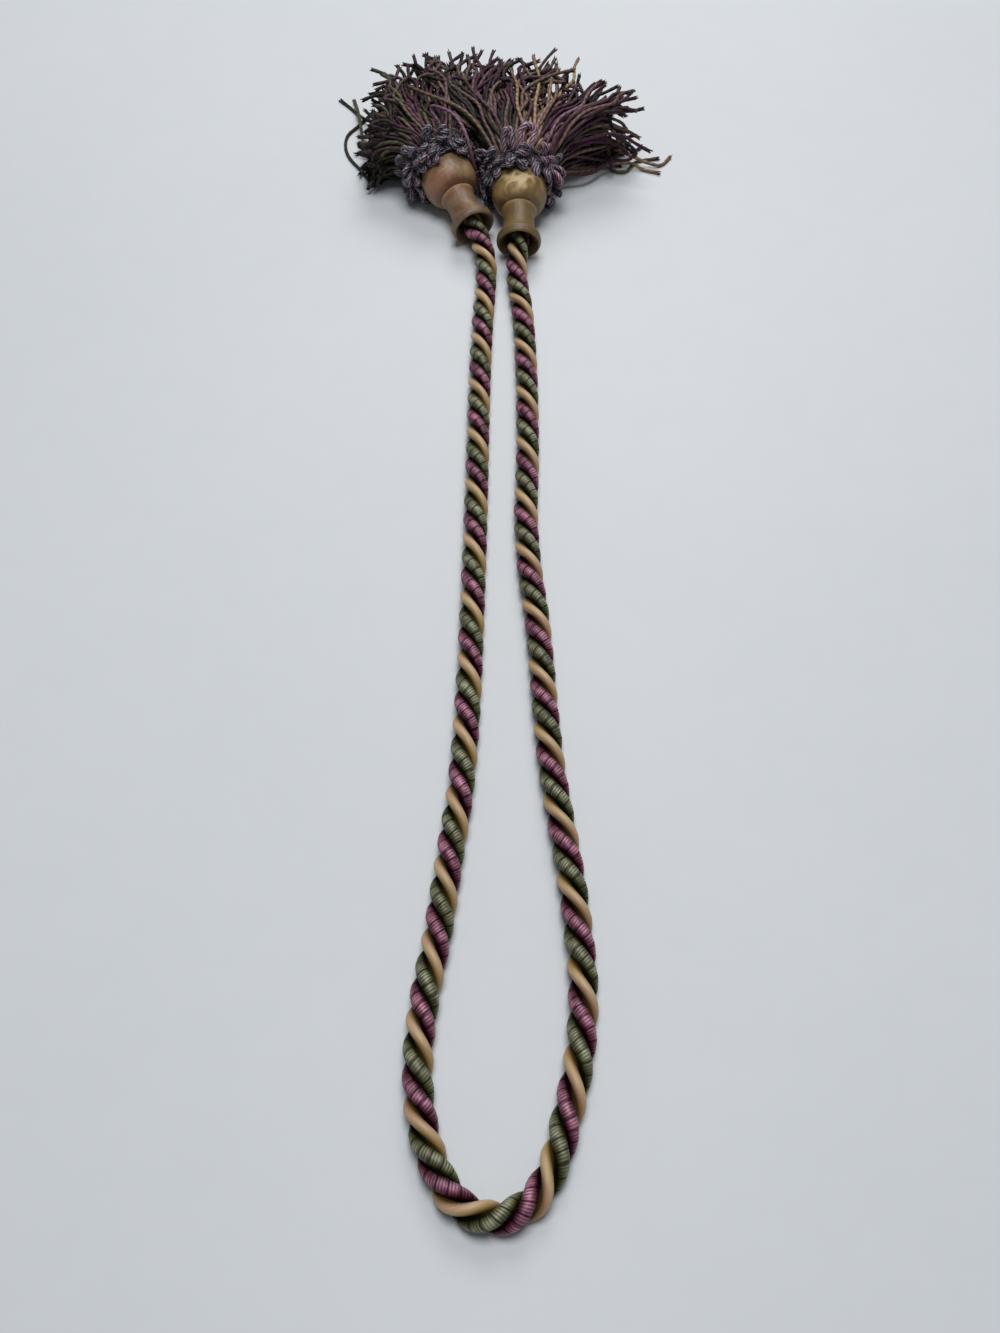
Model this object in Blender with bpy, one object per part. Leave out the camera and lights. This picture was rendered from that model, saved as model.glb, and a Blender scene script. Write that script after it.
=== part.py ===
"""Curtain tieback: one three-strand twisted rope with a turned wooden tassel head,
a looped collar and a skirt of cut cords at each of its two ends, lying on a flat surface.

Everything is in metres, +Z up, +Y from the rope's bight towards the skirts.
"""
import math

import bmesh
import bpy
import numpy as np

MM = 0.001

# ---- where the part lies: plan position of the origin, in the layout's own millimetres ----
ORIGIN_X = 0.76
ORIGIN_Y = 368.85

# ---- rope (millimetres) ----
ROPE_RADIUS = 3.3            # over the crowns of the three strands
ROPE_SHOULDER = 2.55         # radius either side of the groove between two strands
ROPE_SHOULDER_ANGLE = 38.0   # degrees from a strand's crown to that shoulder
ROPE_LAY = 18.9              # one full turn of a strand, left-handed
ROPE_STEPS_PER_LAY = 6.6
ROPE_START = 324.0           # degrees from the top to a strand's crown where the route starts
LIES = 3.2                   # centreline above the surface where the rope lies on it

# route of the rope's centreline, from the bottom of the right head's bore round the bight
# to the bottom of the left head's bore
ROPE_ROUTE = (
    # x, y, z
    (5.95, 339.4, 8.03),
    (5.65, 328.6, 6.30),
    (5.15, 321.0, 4.70),
    (5.40, 313.0, 3.45),
    (6.60, 302.3, LIES),
    (7.50, 280.8, LIES),
    (7.70, 260.3, LIES),
    (7.50, 240.8, LIES),
    (6.90, 222.8, LIES),
    (7.60, 205.7, LIES),
    (9.30, 189.1, LIES),
    (10.30, 173.7, LIES),
    (11.10, 159.2, LIES),
    (12.50, 143.0, LIES),
    (15.00, 125.0, LIES),
    (16.90, 108.0, LIES),
    (17.65, 92.0, LIES),
    (16.40, 79.0, LIES),
    (13.60, 67.0, LIES),
    (10.20, 56.5, LIES),
    (5.60, 50.0, LIES),
    (-1.20, 47.6, LIES),
    (-8.20, 50.2, LIES),
    (-13.00, 57.5, LIES),
    (-16.00, 67.1, LIES),
    (-16.90, 78.8, LIES),
    (-16.00, 90.6, LIES),
    (-13.50, 106.0, LIES),
    (-11.30, 124.0, LIES),
    (-9.10, 142.0, LIES),
    (-7.80, 165.0, LIES),
    (-7.00, 195.0, LIES),
    (-6.40, 230.0, LIES),
    (-6.00, 265.0, LIES),
    (-5.20, 297.0, LIES),
    (-4.50, 311.0, 3.30),
    (-4.30, 321.0, 4.00),
    (-5.80, 330.2, 5.25),
    (-8.20, 336.4, 6.27),
    (-12.60, 346.6, 8.03),
)

# ---- turned heads: centre of the rope end's face, and heading of the axis ----
HEADS = {
    # side: x, y, z of the face, heading in degrees from +Y (clockwise from above)
    "left": (-8.0, 336.0, 6.2, -23.6),
    "right": (5.8, 327.9, 6.2, 0.8),
}
HEAD_TILT = 9.0              # degrees the axis climbs towards the skirt
HEAD_SEGMENTS = 20
HEAD_PROFILE = (
    # distance along the axis, radius: from the bore's bottom out to the skirt end
    (12.0, 0.0),
    (12.0, 4.1),
    (2.4, 4.2),
    (0.7, 5.1),
    (0.0, 5.7),
    (0.0, 6.4),
    (2.7, 6.83),
    (4.2, 5.9),
    (6.6, 5.05),
    (10.0, 4.85),
    (13.6, 5.2),
    (14.1, 6.1),
    (16.2, 7.5),
    (19.0, 8.45),
    (22.0, 8.7),
    (25.0, 8.2),
    (27.6, 7.2),
    (27.6, 0.0),
)

# ---- collars ----
COLLAR_INNER = 9.05
COLLAR_OUTER = 11.2
COLLAR_BACK = 23.6           # distances along the head's axis
COLLAR_FRONT = 28.6
COLLAR_SEGMENTS = 28
COLLAR_LOOPS = 12
LOOP_RISE = 1.7              # how far a loop stands out of the band
LOOP_HALF_WIDTH = 1.75
LOOP_THICK = 1.0
COLLAR_CLEAR = 15.3          # radius at which a stray cord passes the loops

# ---- skirts ----
BACKING_RADIUS = 8.6
BACKING_BACK = 27.9
BACKING_FRONT = 31.2
BACKING_SEGMENTS = 20
CORD_WIDTH = 1.16            # across a skirt cord
CORD_POINTS = 8
CORDS_PER_SKIRT = 96
ROOT_RADIUS = 8.0
ROOT_DEPTH = 1.3             # how deep a cord's root sits in the backing
FLOOR_LEVEL = 0.29           # centreline of a three-sided cord lying level
CORD_SPACING = 1.36          # kept between centrelines
REACH_SCATTER = (0.84, 1.04) # a cord's own share of its skirt's reach
LONGEST_CORD = 47.0
CORD_SEED = 3
SKIRT_TOP = 24.0             # no cord's centreline stands higher
GOLDEN_TURN = 2.399963       # radians from one cord's root to the next round the backing

# scatter of one cord about its neighbours, in degrees
HEADING_SCATTER = 7.0
CLIMB_SCATTER = 4.0
FALL_SCATTER = 10.0
SWING_SCATTER = 20.0         # how far its tip curls sideways

# a cord of the middle leaves near level; towards the rim it climbs, then drops, in degrees
LEVEL_CLIMB = 3.0
CLIMB_OVER_HEIGHT = 11.0     # more at the top of the backing, less at its foot
FOOT = -0.35                 # up to here the cords lie down at once, between these slopes
FOOT_CLIMB = -4.0
FOOT_FALL = 12.0
LOW_SHARE = 0.35             # how far up the backing its cords fall fully
HIGH_FALL = 0.25             # share of the fall that the highest cords have
RIM_BEND = {
    # side of the skirt: extra climb, extra fall
    "outer": (52.0, 108.0),
    "inner": (36.0, 52.0),
}

# how each skirt fans out, from its leftmost cords to its rightmost
SKIRTS = {
    # side: (heading from +Y in degrees, reach of the tips from the backing's middle)
    "left": ((-82.0, 28.0), (-60.0, 32.0), (-42.0, 38.0), (-28.0, 42.0), (22.0, 43.0)),
    "right": ((-42.0, 46.0), (-10.0, 43.0), (30.0, 44.0), (46.0, 52.0), (63.0, 56.0)),
}

# how the cords settle on each other
SETTLE_ROUNDS = 160
SHAPE_MEMORY = 0.01          # share of a cord's first shape that it takes back each round
COLLAR_REACH = 16.0          # radius within which a cord is kept off the collar
COLLAR_MARGIN = 2.2          # kept in front of the collar

# cords that have sprung out of the skirts, each from its own place in the backing
STRAYS = {
    # name: side, root's angle from the top in degrees, (x, y, z) of its bends
    "dark loop": ("left", -120.0, (
        (-36.0, 368.5, 1.0), (-41.0, 365.5, 0.0), (-46.5, 373.0, 0.0), (-50.5, 379.5, 0.0),
        (-52.0, 385.5, 0.0), (-51.5, 391.0, 0.0), (-48.0, 396.5, 0.0), (-44.0, 403.5, 0.0))),
    "olive pair, lower": ("left", -84.0, (
        (-33.5, 380.5, 4.5), (-41.0, 391.0, 4.0), (-47.0, 399.5, 1.5), (-50.5, 405.0, 0.5),
        (-55.0, 410.5, 0.0))),
    "olive pair, upper": ("left", -102.0, (
        (-37.0, 374.5, 5.0), (-44.5, 381.0, 3.0), (-47.0, 392.0, 3.5), (-48.5, 401.0, 3.0),
        (-50.5, 410.5, 0.5))),
    "purple thread": ("left", 27.0, (
        (-22.0, 377.0, 21.0), (-20.0, 375.0, 22.5), (-16.0, 370.0, 23.0), (-12.5, 366.5, 22.0),
        (-10.0, 363.5, 20.0), (-8.5, 362.5, 16.0), (-7.3, 363.0, 8.0), (-6.1, 363.0, 1.5),
        (-6.8, 359.0, 0.0))),
    "dark spike": ("left", -14.0, (
        (-21.0, 384.0, 18.5), (-18.0, 402.5, 18.5), (-21.0, 405.5, 18.5), (-25.5, 409.5, 18.0))),
    "olive end": ("right", 122.0, (
        (25.0, 374.5, 2.0), (31.0, 379.0, 0.5), (35.0, 378.0, 0.0), (37.5, 372.0, 0.0),
        (41.5, 371.5, 0.0), (45.0, 376.5, 0.0), (52.5, 378.5, 0.0))),
    "tan end, lower": ("right", 106.0, (
        (23.0, 369.0, 2.5), (30.0, 372.5, 0.5), (36.5, 374.0, 1.5), (43.5, 374.5, 1.5),
        (47.5, 372.5, 0.5), (52.0, 371.0, 0.0))),
    "tan end, upper": ("right", 90.0, (
        (27.0, 379.5, 5.0), (35.0, 381.5, 3.0), (40.0, 378.0, 3.5), (44.5, 375.0, 3.5),
        (49.5, 374.5, 1.5), (53.5, 375.0, 0.5), (56.5, 379.0, 0.0))),
    "tan tuft": ("right", 14.0, (
        (14.5, 371.5, 20.0), (20.0, 385.5, 20.5), (24.0, 392.5, 20.0), (24.5, 400.0, 19.5),
        (26.0, 405.5, 19.0))),
    "high arch": ("right", 44.0, (
        (18.5, 367.0, 21.0), (23.0, 369.5, 23.0), (27.5, 372.5, 21.0), (31.5, 375.5, 14.5),
        (35.5, 380.0, 7.0), (39.0, 384.5, 2.0))),
}

MATERIALS = {
    # name: colour, roughness
    "rope_yarn": ((0.30, 0.16, 0.13), 0.75),
    "turned_wood": ((0.33, 0.20, 0.09), 0.55),
    "collar_gimp": ((0.13, 0.08, 0.12), 0.9),
    "skirt_cord": ((0.11, 0.085, 0.08), 0.9),
}


def to_world(points):
    """Layout millimetres to metres about the part's origin."""
    shift = np.array([ORIGIN_X, ORIGIN_Y, 0.0])
    return (np.asarray(points, float) - shift) * MM


def clear_scene():
    for ob in list(bpy.data.objects):
        bpy.data.objects.remove(ob, do_unlink=True)


def make_material(name):
    colour, roughness = MATERIALS[name]
    mat = bpy.data.materials.new(name)
    mat.use_nodes = True
    bsdf = mat.node_tree.nodes["Principled BSDF"]
    bsdf.inputs["Base Color"].default_value = (*colour, 1.0)
    bsdf.inputs["Roughness"].default_value = roughness
    mat.diffuse_color = (*colour, 1.0)
    return mat


def make_object(name, verts, faces, material, sharp=None):
    """A named mesh object from layout millimetres, with its faces turned outwards."""
    mesh = bpy.data.meshes.new(name)
    mesh.from_pydata([tuple(v) for v in to_world(verts)], [], faces)
    bm = bmesh.new()
    bm.from_mesh(mesh)
    bmesh.ops.recalc_face_normals(bm, faces=bm.faces)
    bm.to_mesh(mesh)
    bm.free()
    if sharp is not None:
        mesh.shade_smooth()
        mesh.set_sharp_from_angle(angle=math.radians(sharp))
    mesh.materials.append(material)
    ob = bpy.data.objects.new(name, mesh)
    bpy.context.scene.collection.objects.link(ob)
    return ob


def join_solids(target, extra):
    """Fuse the solid `extra` into `target` and drop it."""
    mod = target.modifiers.new("fuse", "BOOLEAN")
    mod.operation = "UNION"
    mod.solver = "EXACT"
    mod.object = extra
    depsgraph = bpy.context.evaluated_depsgraph_get()
    fused = bpy.data.meshes.new_from_object(target.evaluated_get(depsgraph))
    target.modifiers.clear()
    old = target.data
    target.data = fused
    fused.name = target.name
    bpy.data.meshes.remove(old)
    bpy.data.objects.remove(extra, do_unlink=True)


def unit(vec):
    vec = np.asarray(vec, float)
    return vec / np.linalg.norm(vec)


def head_frame(side):
    """Origin, axis, sideways and upward directions of one head, in layout millimetres."""
    x, y, z, heading = HEADS[side]
    turn = math.radians(heading)
    climb = math.radians(HEAD_TILT)
    axis = np.array([
        math.sin(turn) * math.cos(climb),
        math.cos(turn) * math.cos(climb),
        math.sin(climb),
    ])
    across = unit(np.cross(axis, [0.0, 0.0, 1.0]))
    up = np.cross(across, axis)
    return np.array([x, y, z]), axis, across, up


def smooth_curve(points, step):
    """A centripetal curve through `points`, resampled at even steps of arc length."""
    pts = np.asarray(points, float)
    pts = np.vstack([2 * pts[0] - pts[1], pts, 2 * pts[-1] - pts[-2]])
    dense = []
    for i in range(1, len(pts) - 2):
        p0, p1, p2, p3 = pts[i - 1:i + 3]
        t0 = 0.0
        t1 = t0 + math.sqrt(np.linalg.norm(p1 - p0))
        t2 = t1 + math.sqrt(np.linalg.norm(p2 - p1))
        t3 = t2 + math.sqrt(np.linalg.norm(p3 - p2))
        for t in np.linspace(t1, t2, 25)[:-1]:
            a1 = (t1 - t) / (t1 - t0) * p0 + (t - t0) / (t1 - t0) * p1
            a2 = (t2 - t) / (t2 - t1) * p1 + (t - t1) / (t2 - t1) * p2
            a3 = (t3 - t) / (t3 - t2) * p2 + (t - t2) / (t3 - t2) * p3
            b1 = (t2 - t) / (t2 - t0) * a1 + (t - t0) / (t2 - t0) * a2
            b2 = (t3 - t) / (t3 - t1) * a2 + (t - t1) / (t3 - t1) * a3
            dense.append((t2 - t) / (t2 - t1) * b1 + (t - t1) / (t2 - t1) * b2)
    dense.append(pts[-2])
    dense = np.array(dense)
    arc = np.concatenate([[0.0], np.cumsum(np.linalg.norm(np.diff(dense, axis=0), axis=1))])
    count = max(int(round(arc[-1] / step)), 2)
    even = np.linspace(0.0, arc[-1], count + 1)
    return np.stack([np.interp(even, arc, dense[:, k]) for k in range(3)], axis=1)


# ---------------------------------------------------------------- rope
def rope_section():
    """Radius and angle of the nine points of the three-lobed section."""
    ring = []
    for lobe in range(3):
        crown = 120.0 * lobe
        ring.append((ROPE_SHOULDER, crown - ROPE_SHOULDER_ANGLE))
        ring.append((ROPE_RADIUS, crown))
        ring.append((ROPE_SHOULDER, crown + ROPE_SHOULDER_ANGLE))
    return ring


def build_rope(material):
    path = smooth_curve(ROPE_ROUTE, ROPE_LAY / ROPE_STEPS_PER_LAY)
    section = rope_section()
    verts = []
    for i, point in enumerate(path):
        ahead = unit(path[min(i + 1, len(path) - 1)] - path[max(i - 1, 0)])
        across = unit(np.cross(ahead, [0.0, 0.0, 1.0]))
        up = np.cross(across, ahead)
        turn = ROPE_START - 360.0 * i / ROPE_STEPS_PER_LAY
        for radius, angle in section:
            a = math.radians(angle + turn)
            vert = point + radius * (math.cos(a) * up + math.sin(a) * across)
            vert[2] = max(vert[2], 0.0)
            verts.append(vert)
    n = len(section)
    faces = []
    for i in range(len(path) - 1):
        for j in range(n):
            k = (j + 1) % n
            low, high = i * n, (i + 1) * n
            faces.append((low + j, low + k, high + k))
            faces.append((low + j, high + k, high + j))
    faces.append(tuple(range(n))[::-1])
    faces.append(tuple(range((len(path) - 1) * n, len(path) * n)))
    return make_object("rope", verts, faces, material, sharp=60.0)


# ---------------------------------------------------------------- turned parts
def lathe(name, side, profile, segments, material, sharp):
    """A turned solid about a head's axis; one facet faces straight down."""
    origin, axis, across, up = head_frame(side)
    verts = []
    rows = []
    for along, radius in profile:
        if radius == 0.0:
            rows.append([len(verts)])
            verts.append(origin + along * axis)
            continue
        row = []
        for j in range(segments):
            a = 2 * math.pi * (j + 0.5) / segments
            vert = origin + along * axis + radius * (math.sin(a) * across - math.cos(a) * up)
            vert[2] = max(vert[2], 0.0)
            row.append(len(verts))
            verts.append(vert)
        rows.append(row)
    faces = []
    for one, two in zip(rows[:-1], rows[1:]):
        for j in range(segments):
            k = (j + 1) % segments
            if len(one) == 1:
                faces.append((one[0], two[j], two[k]))
            elif len(two) == 1:
                faces.append((one[j], two[0], one[k]))
            else:
                faces.append((one[j], two[j], two[k], one[k]))
    return make_object(name, verts, faces, material, sharp=sharp)


# ---------------------------------------------------------------- collars
def build_collar(side, material):
    """A ruched band round the head's big end with loops standing out of it."""
    origin, axis, across, up = head_frame(side)
    middle = (COLLAR_BACK + COLLAR_FRONT) / 2
    half = (COLLAR_FRONT - COLLAR_BACK) / 2
    section = (
        # along the axis from the middle, radius, how much the ruching lifts it
        (-half, COLLAR_INNER, 0.0),
        (half, COLLAR_INNER, 0.0),
        (half, COLLAR_OUTER - 0.5, 0.4),
        (0.0, COLLAR_OUTER, 0.7),
        (-half, COLLAR_OUTER - 0.7, 0.5),
    )
    verts = []
    for i in range(COLLAR_SEGMENTS):
        a = 2 * math.pi * i / COLLAR_SEGMENTS
        lift = math.cos(a * COLLAR_SEGMENTS / 2)
        sway = 0.35 * math.sin(5.0 * a)
        for along, radius, ruche in section:
            r = radius + ruche * lift
            s = middle + along + sway * (radius > COLLAR_INNER)
            vert = origin + s * axis + r * (math.sin(a) * across + math.cos(a) * up)
            vert[2] = max(vert[2], 0.0)
            verts.append(vert)
    n = len(section)
    faces = []
    for i in range(COLLAR_SEGMENTS):
        low, high = i * n, ((i + 1) % COLLAR_SEGMENTS) * n
        for j in range(n):
            k = (j + 1) % n
            faces.append((low + j, high + j, high + k, low + k))
    band = make_object("collar_" + side, verts, faces, material, sharp=50.0)

    loop_verts = []
    loop_faces = []
    arch = (
        # share of the half width, share of the rise
        (-0.75, -0.7),
        (-1.0, 0.45),
        (-0.45, 1.0),
        (0.45, 1.0),
        (1.0, 0.45),
        (0.75, -0.7),
    )
    for i in range(COLLAR_LOOPS):
        a = math.radians(-116.0 + 232.0 * i / (COLLAR_LOOPS - 1))
        lean = (0.5 if i % 2 else -0.9)
        outward = math.sin(a) * across + math.cos(a) * up
        sideways = math.cos(a) * across - math.sin(a) * up
        foot = origin + (middle + lean) * axis + (COLLAR_OUTER - 0.1) * outward
        high = LOOP_RISE * (1.0 if i % 2 else 0.7)
        start = len(loop_verts)
        line = [foot + LOOP_HALF_WIDTH * x * sideways + high * y * outward for x, y in arch]
        for j, point in enumerate(line):
            ahead = unit(line[min(j + 1, len(line) - 1)] - line[max(j - 1, 0)])
            inner = unit(np.cross(axis, ahead))
            t = LOOP_THICK / 2
            for p, q in ((-t, -t), (t, -t), (t, t), (-t, t)):
                loop_verts.append(point + p * axis + q * inner)
        for j in range(len(line) - 1):
            low, top = start + 4 * j, start + 4 * (j + 1)
            for k in range(4):
                m = (k + 1) % 4
                loop_faces.append((low + k, low + m, top + m, top + k))
        end = start + 4 * (len(line) - 1)
        loop_faces.append((start + 3, start + 2, start + 1, start))
        loop_faces.append((end, end + 1, end + 2, end + 3))
    loops = make_object("loops_" + side, loop_verts, loop_faces, material)
    join_solids(band, loops)
    band.data.shade_flat()
    return band


# ---------------------------------------------------------------- skirts
def cord_line(root, heading, climb, fall, length, swing):
    """Centreline of a cord that leaves at `climb` and bends over to `fall` below level."""
    fine = 6
    steps = (CORD_POINTS - 1) * fine
    point = np.array(root, float)
    line = [point.copy()]
    for k in range(steps):
        s = (k + 0.5) / steps
        rise = climb - (climb + fall) * s
        turn = heading + swing * s * s
        step = np.array([
            math.cos(rise) * math.sin(turn),
            math.cos(rise) * math.cos(turn),
            math.sin(rise),
        ])
        if point[2] <= FLOOR_LEVEL and step[2] < 0.0:
            step = np.array([math.sin(turn), math.cos(turn), 0.0])
        point = point + step * length / steps
        point[2] = max(point[2], FLOOR_LEVEL)
        if (k + 1) % fine == 0:
            line.append(point.copy())
    return np.array(line)


def first_layout():
    """Every cord's line before they press on each other: side, points, held still or not."""
    rng = np.random.default_rng(CORD_SEED)
    cords = []
    for side in ("left", "right"):
        origin, axis, across, up = head_frame(side)
        face = origin + (BACKING_FRONT - ROOT_DEPTH) * axis
        headings, reaches = zip(*SKIRTS[side])
        sign = -1.0 if side == "left" else 1.0
        for i in range(CORDS_PER_SKIRT):
            rho = math.sqrt((i + 0.5) / CORDS_PER_SKIRT)
            theta = i * GOLDEN_TURN
            x = rho * math.cos(theta)
            y = rho * math.sin(theta)
            root = face + ROOT_RADIUS * (x * across + y * up)
            outer = x * sign > 0.0
            place = 0.5 + (x * math.sqrt(1.0 - x * x) + math.asin(x)) / math.pi
            heading = headings[0] + (headings[-1] - headings[0]) * place
            heading += rng.normal(0.0, HEADING_SCATTER)
            rim_climb, rim_fall = RIM_BEND["outer" if outer else "inner"]
            hump = abs(x) ** 1.3 * min(max(y + 0.8, 0.0), 1.0) * (1.15 - 0.7 * max(y, 0.0))
            climb = LEVEL_CLIMB + CLIMB_OVER_HEIGHT * y + rim_climb * hump
            climb += rng.normal(0.0, CLIMB_SCATTER)
            low = min(max(LOW_SHARE - y, 0.0), 1.0)
            fall = 4.0 + rim_fall * abs(x) ** 1.2 * (HIGH_FALL + (1.0 - HIGH_FALL) * low)
            fall += rng.normal(0.0, FALL_SCATTER)
            if y < FOOT:
                climb = min(climb, FOOT_CLIMB)
                fall = min(fall, FOOT_FALL)
            climb = math.radians(climb)
            fall = math.radians(fall)
            level = (math.sin(climb) + math.sin(fall)) / (climb + fall)
            reach = np.interp(heading, headings, reaches) - ROOT_RADIUS * abs(x)
            reach *= rng.uniform(*REACH_SCATTER)
            length = min(reach / level, LONGEST_CORD)
            swing = math.radians(rng.normal(0.0, SWING_SCATTER))
            line = cord_line(root, math.radians(heading), climb, fall, length, swing)
            cords.append((side, line, False))
    for side, angle, points in STRAYS.values():
        origin, axis, across, up = head_frame(side)
        face = origin + (BACKING_FRONT - ROOT_DEPTH) * axis
        turn = math.radians(angle)
        outward = ROOT_RADIUS * (math.sin(turn) * across + math.cos(turn) * up)
        root = face + outward
        lead = face + 2.6 * axis + 1.06 * outward
        cords.append((side, np.vstack([[root], [lead], points]), True))
    return cords


def settle(cords):
    """Push crossing cords apart, keeping lengths, roots, the floor and the collars clear."""
    sizes = [len(line) for side, line, still in cords]
    start = np.concatenate([[0], np.cumsum(sizes)])
    pts = np.vstack([line for side, line, still in cords])
    rest = pts.copy()
    level = np.concatenate([np.arange(n) for n in sizes])
    owner = np.repeat(np.arange(len(cords)), sizes)
    still = np.array([c[2] for c in cords])[owner]
    loose = (~still & (level > 0)).astype(float)
    first = np.concatenate([np.arange(start[i], start[i + 1] - 1) for i in range(len(cords))])
    length = np.linalg.norm(pts[first + 1] - pts[first], axis=1)
    seg_owner = owner[first]
    seg_level = level[first]
    ranks = [first[seg_level == k] for k in range(max(sizes) - 1)]
    rank_len = [length[seg_level == k] for k in range(max(sizes) - 1)]
    frames = [head_frame(side) for side in ("left", "right")]
    near = None
    for count in range(SETTLE_ROUNDS):
        one = pts[first]
        two = pts[first + 1]
        if count % 5 == 0:
            near = close_pairs(one, two, seg_owner)
        i, j = near
        gap, s, t = segment_gap(one[i], two[i], one[j], two[j])
        dist = np.linalg.norm(gap, axis=1)
        hit = dist < CORD_SPACING
        i, j, s, t, gap, dist = i[hit], j[hit], s[hit], t[hit], gap[hit], dist[hit]
        away = gap / np.maximum(dist, 1e-6)[:, None]
        wi = np.maximum(loose[first[i]], loose[first[i] + 1])
        wj = np.maximum(loose[first[j]], loose[first[j] + 1])
        share = (CORD_SPACING - dist) / np.maximum(wi + wj, 1e-6)
        move = np.zeros_like(pts)
        load = np.zeros(len(pts))
        for seg, way, w, part in ((i, 1.0, wi, s), (j, -1.0, wj, t)):
            push = (way * w * share)[:, None] * away
            for end, blend in ((0, 1.0 - part), (1, part)):
                np.add.at(move, first[seg] + end, push * blend[:, None])
                np.add.at(load, first[seg] + end, blend)
        pts = pts + loose[:, None] * move / np.maximum(load, 1.0)[:, None] ** 0.6
        if count < SETTLE_ROUNDS // 2:
            pts = pts + SHAPE_MEMORY * (loose * (level > 1))[:, None] * (rest - pts)
        for origin, axis, across, up in frames:
            along = (pts - origin) @ axis
            radial = pts - origin - along[:, None] * axis
            r = np.linalg.norm(radial, axis=1)
            lift = np.clip(COLLAR_FRONT + COLLAR_MARGIN - along, 0.0, 1.2)
            inside = (along < COLLAR_FRONT + COLLAR_MARGIN) & (along > 10.0)
            inside = inside & (r < COLLAR_REACH) & (level > 0)
            pts = pts + (inside * loose * lift)[:, None] * axis
            beside = inside * (1.0 - loose) * np.maximum(COLLAR_CLEAR - r, 0.0)
            pts = pts + beside[:, None] * radial / np.maximum(r, 1e-6)[:, None]
        pts[:, 2] = np.maximum(pts[:, 2], FLOOR_LEVEL)
        for seg, size in zip(ranks, rank_len):
            far = pts[seg + 1] - pts[seg]
            keep = size / np.maximum(np.linalg.norm(far, axis=1), 1e-6)
            moved = pts[seg] + far * keep[:, None]
            moved[:, 2] = np.clip(moved[:, 2], FLOOR_LEVEL, SKIRT_TOP)
            free = loose[seg + 1][:, None]
            pts[seg + 1] = free * moved + (1.0 - free) * pts[seg + 1]
    return [pts[start[i]:start[i + 1]] for i in range(len(cords))]


def close_pairs(one, two, seg_owner):
    """Pairs of segments of different cords that could touch."""
    mid = (one + two) / 2
    half = np.linalg.norm(two - one, axis=1) / 2
    found_i = []
    found_j = []
    for low in range(0, len(mid), 300):
        part = slice(low, low + 300)
        apart = np.sqrt(((mid[part, None] - mid[None]) ** 2).sum(axis=2))
        i, j = np.nonzero(apart < half[part, None] + half[None] + CORD_SPACING + 2.0)
        i = i + low
        keep = (i < j) & (seg_owner[i] != seg_owner[j])
        found_i.append(i[keep])
        found_j.append(j[keep])
    return np.concatenate(found_i), np.concatenate(found_j)


def segment_gap(p, p_end, q, q_end):
    """Shortest vector between two segments, and where it stands on each."""
    d1 = p_end - p
    d2 = q_end - q
    r = p - q
    a = (d1 * d1).sum(axis=1)
    e = (d2 * d2).sum(axis=1)
    f = (d2 * r).sum(axis=1)
    c = (d1 * r).sum(axis=1)
    b = (d1 * d2).sum(axis=1)
    den = a * e - b * b
    s = np.where(den > 1e-9, np.clip((b * f - c * e) / np.maximum(den, 1e-9), 0.0, 1.0), 0.5)
    t = np.clip((b * s + f) / e, 0.0, 1.0)
    s = np.clip((b * t - c) / a, 0.0, 1.0)
    return (p + d1 * s[:, None]) - (q + d2 * t[:, None]), s, t


def drop_crossing(cords, lines, least):
    """Leave out the loose cords that still come closer than `least` to another."""
    sizes = [len(line) for line in lines]
    start = np.concatenate([[0], np.cumsum(sizes)])
    pts = np.vstack(lines)
    owner = np.repeat(np.arange(len(lines)), sizes)
    first = np.concatenate([np.arange(start[i], start[i + 1] - 1) for i in range(len(lines))])
    i, j = close_pairs(pts[first], pts[first + 1], owner[first])
    gap, s, t = segment_gap(pts[first[i]], pts[first[i] + 1], pts[first[j]], pts[first[j] + 1])
    tight = np.linalg.norm(gap, axis=1) < least
    dropped = set()
    for a, b in zip(owner[first[i[tight]]], owner[first[j[tight]]]):
        if a in dropped or b in dropped:
            continue
        dropped.add(int(b) if not cords[b][2] else int(a))
    return [k for k in range(len(lines)) if k not in dropped]


def cord_mesh(line, verts, faces):
    """A three-sided tube with its flat side down."""
    base = len(verts)
    crown = CORD_WIDTH * 0.5
    side = None
    for i, point in enumerate(line):
        ahead = unit(line[min(i + 1, len(line) - 1)] - line[max(i - 1, 0)])
        across = np.cross(ahead, [0.0, 0.0, 1.0])
        if side is not None and np.linalg.norm(across) < 0.3:
            across = side - (side @ ahead) * ahead
        across = unit(across)
        if side is not None and across @ side < 0.0:
            across = -across
        side = across
        up = np.cross(across, ahead)
        verts.append(point + crown * up)
        verts.append(point - crown * 0.5 * up - crown * 0.866 * across)
        verts.append(point - crown * 0.5 * up + crown * 0.866 * across)
    for i in range(len(line) - 1):
        low, high = base + 3 * i, base + 3 * (i + 1)
        for j in range(3):
            k = (j + 1) % 3
            faces.append((low + j, low + k, high + k))
            faces.append((low + j, high + k, high + j))
    faces.append((base + 2, base + 1, base))
    end = base + 3 * (len(line) - 1)
    faces.append((end, end + 1, end + 2))


def build_skirts(material):
    cords = first_layout()
    lines = settle(cords)
    kept = drop_crossing(cords, lines, CORD_WIDTH)
    backing = (
        # distance along the axis, radius
        (BACKING_BACK, 0.0),
        (BACKING_BACK, BACKING_RADIUS - 0.4),
        (BACKING_FRONT - 1.2, BACKING_RADIUS),
        (BACKING_FRONT, BACKING_RADIUS - 0.6),
        (BACKING_FRONT + 0.5, 4.0),
        (BACKING_FRONT + 0.6, 0.0),
    )
    for side in ("left", "right"):
        verts = []
        faces = []
        for k in kept:
            if cords[k][0] == side:
                cord_mesh(lines[k], verts, faces)
        skirt = lathe("skirt_" + side, side, backing, BACKING_SEGMENTS, material, None)
        bundle = make_object("cords_" + side, verts, faces, material)
        join_solids(skirt, bundle)


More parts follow.
